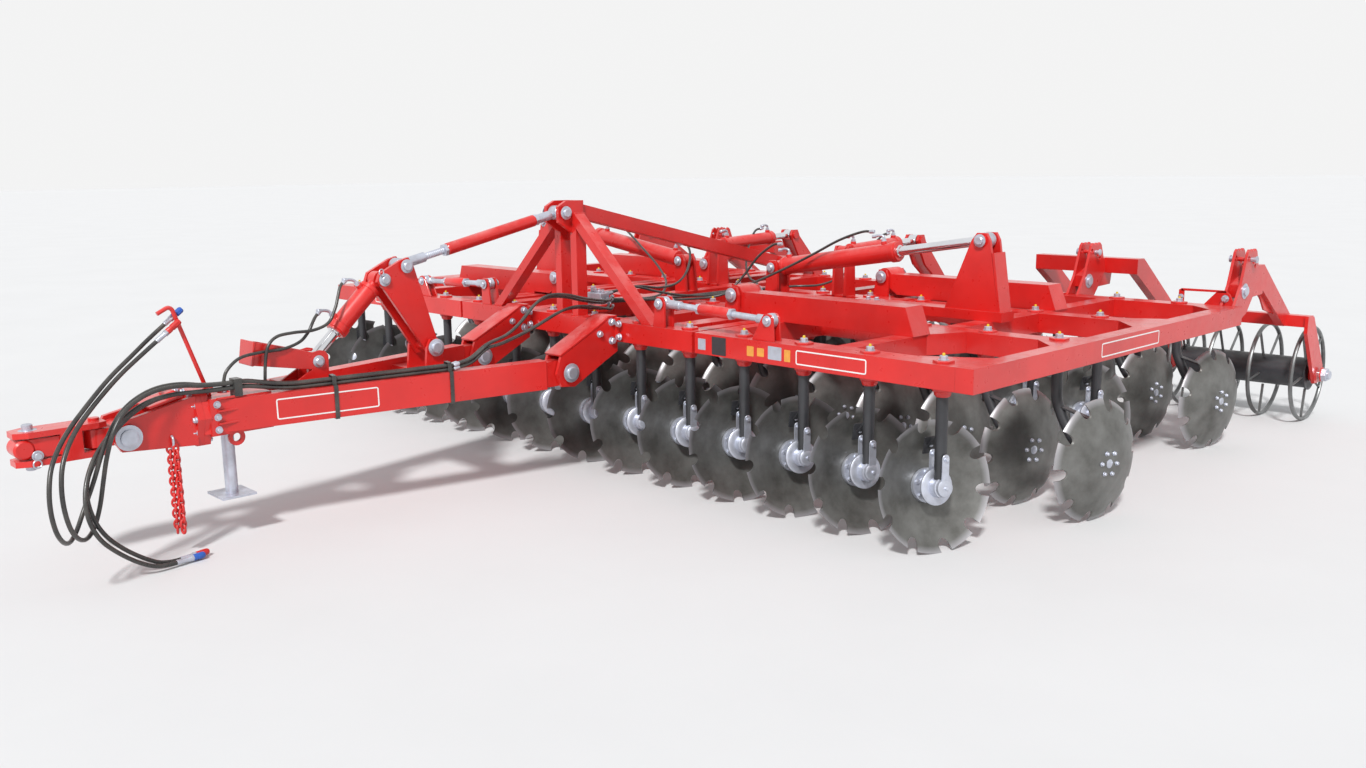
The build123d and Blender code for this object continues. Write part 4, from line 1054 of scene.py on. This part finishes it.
def makeStraps():
    bag = newBag()
    edge, thick = bundleStrap["edge"], bundleStrap["thick"]
    for y in bundleStrap["ys"]:
        centre, along, side = beamFrame(y)
        loops = []
        for lift, shift in ((0, -edge), (thick, -edge), (thick, edge), (0, edge)):
            grow = 1 + lift / bundleStrap["growth"]
            loops.append([centre + side * u * grow + Vector((0, 0, v + (lift if v > 0 else -lift))) + along * shift
                          for u, v in bundleStrap["loop"]])
        addLoops(bag, loops, closed=True)
    makePiece("bundleStraps", bag, "drawbar", [hoseRubber])


makeStraps()

# bare outlines and blank plates stuck on the beams
outlineShape = {"band": 0.007, "corner": 0.012,
                "wing": (0.460, 0.078), "side": (0.700, 0.078), "drawbar": (0.540, 0.110),
                "wingX": 2.190, "sideX": 3.030, "sideY": 0.820, "drawbarY": -2.560, "drawbarOut": 0.050}
# the plates' x and z ranges in millimetres, and their material
plates = [(1230, 1290, 856, 920, 0), (1340, 1450, 838, 940, 1), (1610, 1660, 860, 915, 2),
          (1685, 1735, 866, 912, 2), (1764, 1860, 858, 930, 0), (1880, 1922, 858, 922, 2)]
plateShape = {"corner": 0.004, "thick": 0.0012, "chamfer": 0.0003}
quarters = ((1, 1, 0), (-1, 1, 90), (-1, -1, 180), (1, -1, 270))


def addOutline(bag, centre, across, up, size):
    across, up = Vector(across).normalized(), Vector(up).normalized()
    normal, band = across.cross(up), outlineShape["band"]
    loops = []
    for inset, lift in ((0, 0.0002), (0, 0.0012), (band, 0.0012), (band, 0.0002)):
        corner = max(outlineShape["corner"] - inset, 0.004)
        loops.append([])
        for sx, sy, start in quarters:
            for k in range(5):
                turn = radians(start + 90 * k / 4)
                u = sx * (size[0] / 2 - inset - corner) + corner * cos(turn)
                v = sy * (size[1] / 2 - inset - corner) + corner * sin(turn)
                loops[-1].append(Vector(centre) + across * u + up * v + normal * lift)
    addLoops(bag, loops, closed=True)


def addBlankPlate(bag, x0, x1, z0, z1, mat):
    corner, outline = plateShape["corner"], []
    for sx, sz, start in quarters:
        cx, cz = (x1 if sx > 0 else x0) - sx * corner, (z1 if sz > 0 else z0) - sz * corner
        turns = [radians(start + 30 * k) for k in range(4)]
        outline += [(cx + corner * cos(turn), cz + corner * sin(turn)) for turn in turns]
    origin = (0, machine["frontFace"], 0)
    addPlate(bag, outline, origin, toLeft, upward, plateShape["thick"], mat, plateShape["chamfer"])


def makeLabels():
    for side, body in wings:
        bag = newBag()
        front = (side * outlineShape["wingX"], machine["frontFace"], machine["beamMiddle"])
        end = (side * outlineShape["sideX"], outlineShape["sideY"], machine["beamMiddle"])
        addOutline(bag, front, toLeft, upward, outlineShape["wing"])
        addOutline(bag, end, (0, side, 0), upward, outlineShape["side"])
        makePiece(body + "Outlines", bag, body, [whiteSheet])
    centre, along, side = beamFrame(outlineShape["drawbarY"])
    bag = newBag()
    addOutline(bag, centre + side * outlineShape["drawbarOut"], along, side.cross(along), outlineShape["drawbar"])
    makePiece("drawbarOutline", bag, "drawbar", [whiteSheet])
    bag = newBag()
    for *box, mat in plates:
        addBlankPlate(bag, *[value / 1000 for value in box], mat)
    makePiece("beamLabels", bag, "left_wing", [greySheet, darkPaint, orangeSheet])


makeLabels()
print("labels ready")

# safety chain that hangs from the drawbar's head by a hook
chainShape = {"top": (0.135, -3.346, 0.600), "links": 16, "pitch": 0.0275, "wire": 0.0062, "half": (0.0135, 0.0215),
              "drop": 0.055, "apart": (0.013, 0.010), "sway": 0.002,
              "hook": [(0, 10), (16, -4), (12, -40), (-10, -56), (-16, -30), (-10, -14)], "hookWire": 0.006}


def makeChain():
    bag = newBag()
    x, y, z = chainShape["top"]
    (wide, tall), (apart, behind) = chainShape["half"], chainShape["apart"]
    for strand in (-1, 1):
        for i in range(chainShape["links"]):
            centre = (x + strand * apart + chainShape["sway"] * (i % 3), y + strand * behind,
                      z - chainShape["drop"] - i * chainShape["pitch"])
            flat = Vector((1, 0.3 * strand, 0) if i % 2 else (-0.3 * strand, 1, 0)).normalized()
            addTube(bag, ellipse(centre, flat * wide, Vector((0, 0, tall)), 16), chainShape["wire"], 0, 8, True)
    hook = [(x + across, y, z + high) for across, high in metres(chainShape["hook"])]
    addTube(bag, smoothPath(hook, 5), chainShape["hookWire"], 1, 10)
    makePiece("safetyChain", bag, "drawbar", [redPaint, zinc], 40)


makeChain()

# the rollers' bearings and end nuts, the pins of their arms, and bolts on the wings' decks
bearing = {
    "y": 3.665, "z": 0.350,
    # x and the way it faces
    "inner": [(1.375, 1), (2.120, -1), (2.120, 1), (3.125, -1)], "outer": [(1.375, -1), (3.125, 1)],
    "housing": [(0, 0.074), (0.010, 0.074), (0.014, 0.062), (0.030, 0.056), (0.032, 0.044)],
    "endOut": 0.031, "housingOut": 0.012, "boltOut": 0.020, "boltCircle": 0.067, "bolt": 0.013,
    # along the axis, profile, material, sides
    "end": [(0, [(0, 0.052), (0.006, 0.052), (0.008, 0.046)], 0, 28),
            (0.008, [(0, 0.050), (0.030, 0.050), (0.034, 0.044)], 1, 6),
            (0.042, [(0, 0.032), (0.014, 0.032), (0.018, 0.026)], 1, 24)],
}
armFittings = {"xs": (1.870, 2.950), "pivot": (2.505, 1.040), "pin": 0.034, "pinOut": 0.048,
               "depthReach": 0.215, "depthAngle": 70, "depthOut": 0.075,
               "depthPin": [(-0.026, 0.0162), (0.004, 0.0162), (0.006, 0.024), (0.012, 0.024), (0.014, 0.018)]}

deckBolts = {"xs": (1.262, 1.330), "place": (0.765, 1.010), "width": 0.026}


def makeRollerFittings(side, body):
    bag = newBag()
    y, z = bearing["y"], bearing["z"]
    for x, out in bearing["outer"]:
        for along, profile, mat, sides in bearing["end"]:
            place = (side * (x + out * (bearing["endOut"] + along)), y, z)
            addTurned(bag, place, (side * out, 0, 0), profile, mat, sides)
    for x, out in bearing["inner"]:
        place = (side * (x + out * bearing["housingOut"]), y, z)
        addTurned(bag, place, (side * out, 0, 0), bearing["housing"], 0, 28)
        for k in range(4):
            turn, reach = radians(45 + 90 * k), bearing["boltCircle"]
            place = (side * (x + out * bearing["boltOut"]), y + reach * cos(turn), z + reach * sin(turn))
            addBolt(bag, place, (side * out, 0, 0), bearing["bolt"], 1, False)
    (y, z), turn, reach = armFittings["pivot"], radians(armFittings["depthAngle"]), armFittings["depthReach"]
    for x, face in product(armFittings["xs"], (-1, 1)):
        place = (side * (x + face * armFittings["pinOut"]), y, z)
        addPinHead(bag, place, (side * face, 0, 0), armFittings["pin"], 1)
        place = (side * (x + face * armFittings["depthOut"]), y + cos(turn) * reach, z + sin(turn) * reach)
        addTurned(bag, place, (side * face, 0, 0), armFittings["depthPin"], 1, 20)
    makePiece(body + "RollerFittings", bag, body)


for side, body in wings:
    makeRollerFittings(side, body)
for side, body in wings:
    rows = [((side * x, *deckBolts["place"]), upward, deckBolts["width"]) for x in deckBolts["xs"]]
    makeFixings(body + "DeckBolts", body, rows)
print("fittings ready")

# smaller fabricated parts: the ram's foot, the hitch's nose, cover strips, lugs and ribs, plates by the rollers
footShape = {
    "side": [(-2.885, 0.893), (-2.562, 0.832), (-2.690, 0.760), (-2.470, 0.760), (-2.466, 0.900),
             (-2.485, 0.925), (-2.515, 0.932), (-2.555, 0.925), (-2.793, 0.995), (-2.868, 1.013)],
    "half": 0.066, "wall": 0.012,
    # centre, sizes, tilt about x
    "plates": [((0, -2.880, 0.954), (0.160, 0.012, 0.128), -9), ((0, -2.735, 0.870), (0.130, 0.280, 0.010), -10.7),
               ((0, -2.588, 0.762), (0.350, 0.215, 0.012), 0)],
}
noseShape = {
    "spacer": [(-0.055, -3.735), (-0.062, -3.880), (-0.055, -3.955), (-0.035, -3.985), (0.035, -3.985),
               (0.055, -3.955), (0.062, -3.880), (0.055, -3.735)],
    "spacerLow": 0.592, "spacerTall": 0.090, "half": 0.064, "nose": 0.046, "nosePlace": (-3.975, 0.637),
    "pinY": -3.940, "pinEnds": ((1, 0.711), (-1, 0.563)), "washerHigh": 0.006,
    "washer": [(0, 0.042), (0.006, 0.042), (0.008, 0.038)], "head": [(0, 0.024), (0.026, 0.024), (0.030, 0.019)],
    "latch": ((0.066, -3.925, 0.604), toLeft, 0.017), "keeper": ((0.090, -3.935, 0.570), (1, 0.2, 0), 0.019, 0.0038),
}
# side of the bent strip along the top of each drawbar bracket
coverShape = {
    "side": [(-1.228, 0.787), (-0.937, 0.932), (-0.847, 0.982), (-0.785, 0.982), (-0.785, 0.992),
             (-0.850, 0.992), (-0.942, 0.942), (-1.233, 0.797)],
    "x": 0.450, "wide": 0.150,
}
# lifting eye, ribs behind the flange and the cover on the head: centre, sizes, tilt, chamfer
drawbarDetail = {
    "eye": [(-0.008, 0.022), (0.008, 0.022), (0.008, 0.043), (-0.008, 0.043)], "eyePlace": (0.118, -3.020, 0.546),
    "ribX": 0.160, "ribY": -3.065, "ribZs": (0.765, 0.700, 0.635), "rib": (0.014, 0.110, 0.012),
    "covers": [((0, -3.345, 0.775), (0.200, 0.170, 0.014), 13, 0.003),
               ((0, -3.300, 0.800), (0.110, 0.050, 0.030), 13, 0.006)],
}
leverRing = {"ring": ((0.096, -2.128, 1.325), (1, 0.3, 0), 0.017, 0.0034),
             "bar": ((0.086, -2.118, 1.300), (0.098, -2.122, 1.308), 0.005)}
# a low plate with a window on the rear beam, and a knee web under the roller's outer arm
lowPlate = {
    "y": 2.384, "wall": 0.012, "kneeX": 2.950,
    "front": [
        [(2.620, 0.945), (2.655, 0.945), (2.655, 1.035), (2.640, 1.046), (2.620, 1.036)],
        [(2.635, 1.030), (2.930, 1.034), (2.930, 1.048), (2.635, 1.046)],
        [(2.785, 0.945), (2.990, 0.945), (2.955, 1.020), (2.925, 1.046), (2.870, 1.040)]],
    "knee": [(3.474, 0.779), (3.019, 1.030), (2.850, 1.030), (3.000, 0.866), (3.377, 0.771)],
    "bolts": [(2.925, 0.995, 0.034), (2.637, 0.990, 0.026)],
}


def tilt(angle):
    return Matrix.Rotation(radians(angle), 3, "X")


def addSidePlate(bag, outline, x, thickness, chamfer=0.0015):
    # outline in y and z, standing across x
    addPlate(bag, outline, (x, 0, 0), toRear, upward, thickness, 0, chamfer)


def addKeeperRing(bag, centre, axis, radius, wire, mat):
    addTube(bag, circle(centre, Vector(axis).normalized(), radius, 20), wire, mat, 8, True)


def makeRamFoot():
    bag = newBag()
    half, wall = footShape["half"], footShape["wall"]
    for start in (half, -half - wall):
        addSidePlate(bag, footShape["side"], start, wall)
    for centre, sizes, angle in footShape["plates"]:
        addBlock(bag, centre, sizes, 0, tilt(angle))
    makePiece("ramFoot", bag, "drawbar", [redPaint])


def makeHitchNose():
    # spacer and rolled nose between the yoke's plates, the pin through them and its keeper
    bag = newBag()
    half, nosePlace, pinY = noseShape["half"], noseShape["nosePlace"], noseShape["pinY"]
    addPlate(bag, noseShape["spacer"], (0, 0, noseShape["spacerLow"]), toLeft, toRear, noseShape["spacerTall"])
    addRod(bag, (-half, *nosePlace), (half, *nosePlace), noseShape["nose"], 0, 32, 0.2)
    for face, z in noseShape["pinEnds"]:
        addTurned(bag, (0, pinY, z), (0, 0, face), noseShape["washer"], 1, 24)
        addTurned(bag, (0, pinY, z + face * noseShape["washerHigh"]), (0, 0, face), noseShape["head"], 1, 20)
    addPinHead(bag, *noseShape["latch"], 1)
    addKeeperRing(bag, *noseShape["keeper"], 1)
    makePiece("hitchNose", bag, "hitch_yoke", [redPaint, zinc], 32)


def makeBracketCovers():
    bag = newBag()
    for side in (-1, 1):
        start = side * coverShape["x"] - coverShape["wide"] / 2
        addSidePlate(bag, coverShape["side"], start, coverShape["wide"], 0.001)
    makePiece("bracketCovers", bag, "frame", [redPaint])


def makeDrawbarDetails():
    bag = newBag()
    addRing(bag, drawbarDetail["eyePlace"], toLeft, drawbarDetail["eye"], 0, 32)
    for face, z in product((-1, 1), drawbarDetail["ribZs"]):
        addBlock(bag, (face * drawbarDetail["ribX"], drawbarDetail["ribY"], z), drawbarDetail["rib"])
    for centre, sizes, angle, chamfer in drawbarDetail["covers"]:
        addBlock(bag, centre, sizes, 0, tilt(angle), chamfer)
    makePiece("drawbarDetails", bag, "drawbar", [redPaint])
    bag = newBag()
    addKeeperRing(bag, *leverRing["ring"], 0)
    addRod(bag, *leverRing["bar"], 0, 10)
    makePiece("leverRing", bag, "lever", [zinc], 40)


def makeLowPlates(side, body):
    bag = newBag()
    y, wall = lowPlate["y"], lowPlate["wall"]
    for outline in lowPlate["front"]:
        outline = [(side * x, z) for x, z in outline][::side]
        addPlate(bag, outline, (0, y + wall, 0), toLeft, upward, wall)
    for x, z, width in lowPlate["bolts"]:
        addBolt(bag, (side * x, y, z), (0, -1, 0), width, 1)
    addSidePlate(bag, lowPlate["knee"], side * lowPlate["kneeX"] - wall / 2, wall)
    makePiece(body + "LowPlates", bag, body)


makeRamFoot()
makeHitchNose()
makeBracketCovers()
makeDrawbarDetails()
for side, body in wings:
    makeLowPlates(side, body)
print("small parts ready")

# pale floor and soft studio light; the sun's aim is towards the floor and its spread in degrees
studio = {"floor": 150.0, "floorSteps": 12, "floorColour": (0.74, 0.74, 0.74), "floorRough": 0.7,
          "sky": (0.90, 0.92, 0.95), "skyLevel": 0.60, "pale": 0.90}
sun = {"aim": (-0.42, 0.62, -0.74), "strength": 3.0, "spread": 7}


def makeFloor():
    size, steps = studio["floor"], studio["floorSteps"]
    ats = [size * (i / steps - 0.5) * 2 for i in range(steps + 1)]
    corners = [i * (steps + 1) + j for i, j in product(range(steps), repeat=2)]
    mesh = bpy.data.meshes.new("floor")
    mesh.from_pydata([(x, y, 0) for x, y in product(ats, repeat=2)], [],
                     [(a, a + steps + 1, a + steps + 2, a + 1) for a in corners])
    floor = bpy.data.objects.new("floor", mesh)
    scene.collection.objects.link(floor)
    mat, tree, shader = newMaterial("floorPaint")
    darker = tuple(c * 0.97 for c in studio["floorColour"])
    base = mixColour(tree, noiseMask(tree, 0.8, 0.3, 0.7), studio["floorColour"], darker)
    feed(tree, shader, {"Base Color": base, "Roughness": studio["floorRough"]})
    mesh.materials.append(mat)


def makeWorld():
    world = bpy.data.worlds.new("studio")
    scene.world = world
    world.use_nodes = True
    tree = world.node_tree
    path = addNode(tree, "ShaderNodeLightPath").outputs
    seen = combine(tree, "MAXIMUM", path["Is Camera Ray"], path["Is Glossy Ray"])
    feed(tree, tree.nodes["Background"], {
        "Color": mixColour(tree, seen, studio["sky"], (studio["pale"],) * 3),
        "Strength": mixValue(tree, seen, studio["skyLevel"], 1.0),
    })


def makeLamps():
    light = bpy.data.lights.new("sun", "SUN")
    light.energy = sun["strength"]
    light.angle = radians(sun["spread"])
    lamp = bpy.data.objects.new("sun", light)
    scene.collection.objects.link(lamp)
    lamp.rotation_euler = Vector(sun["aim"]).to_track_quat("-Z", "Y").to_euler()


makeFloor()
makeWorld()
makeLamps()
print("floor and lamps ready")
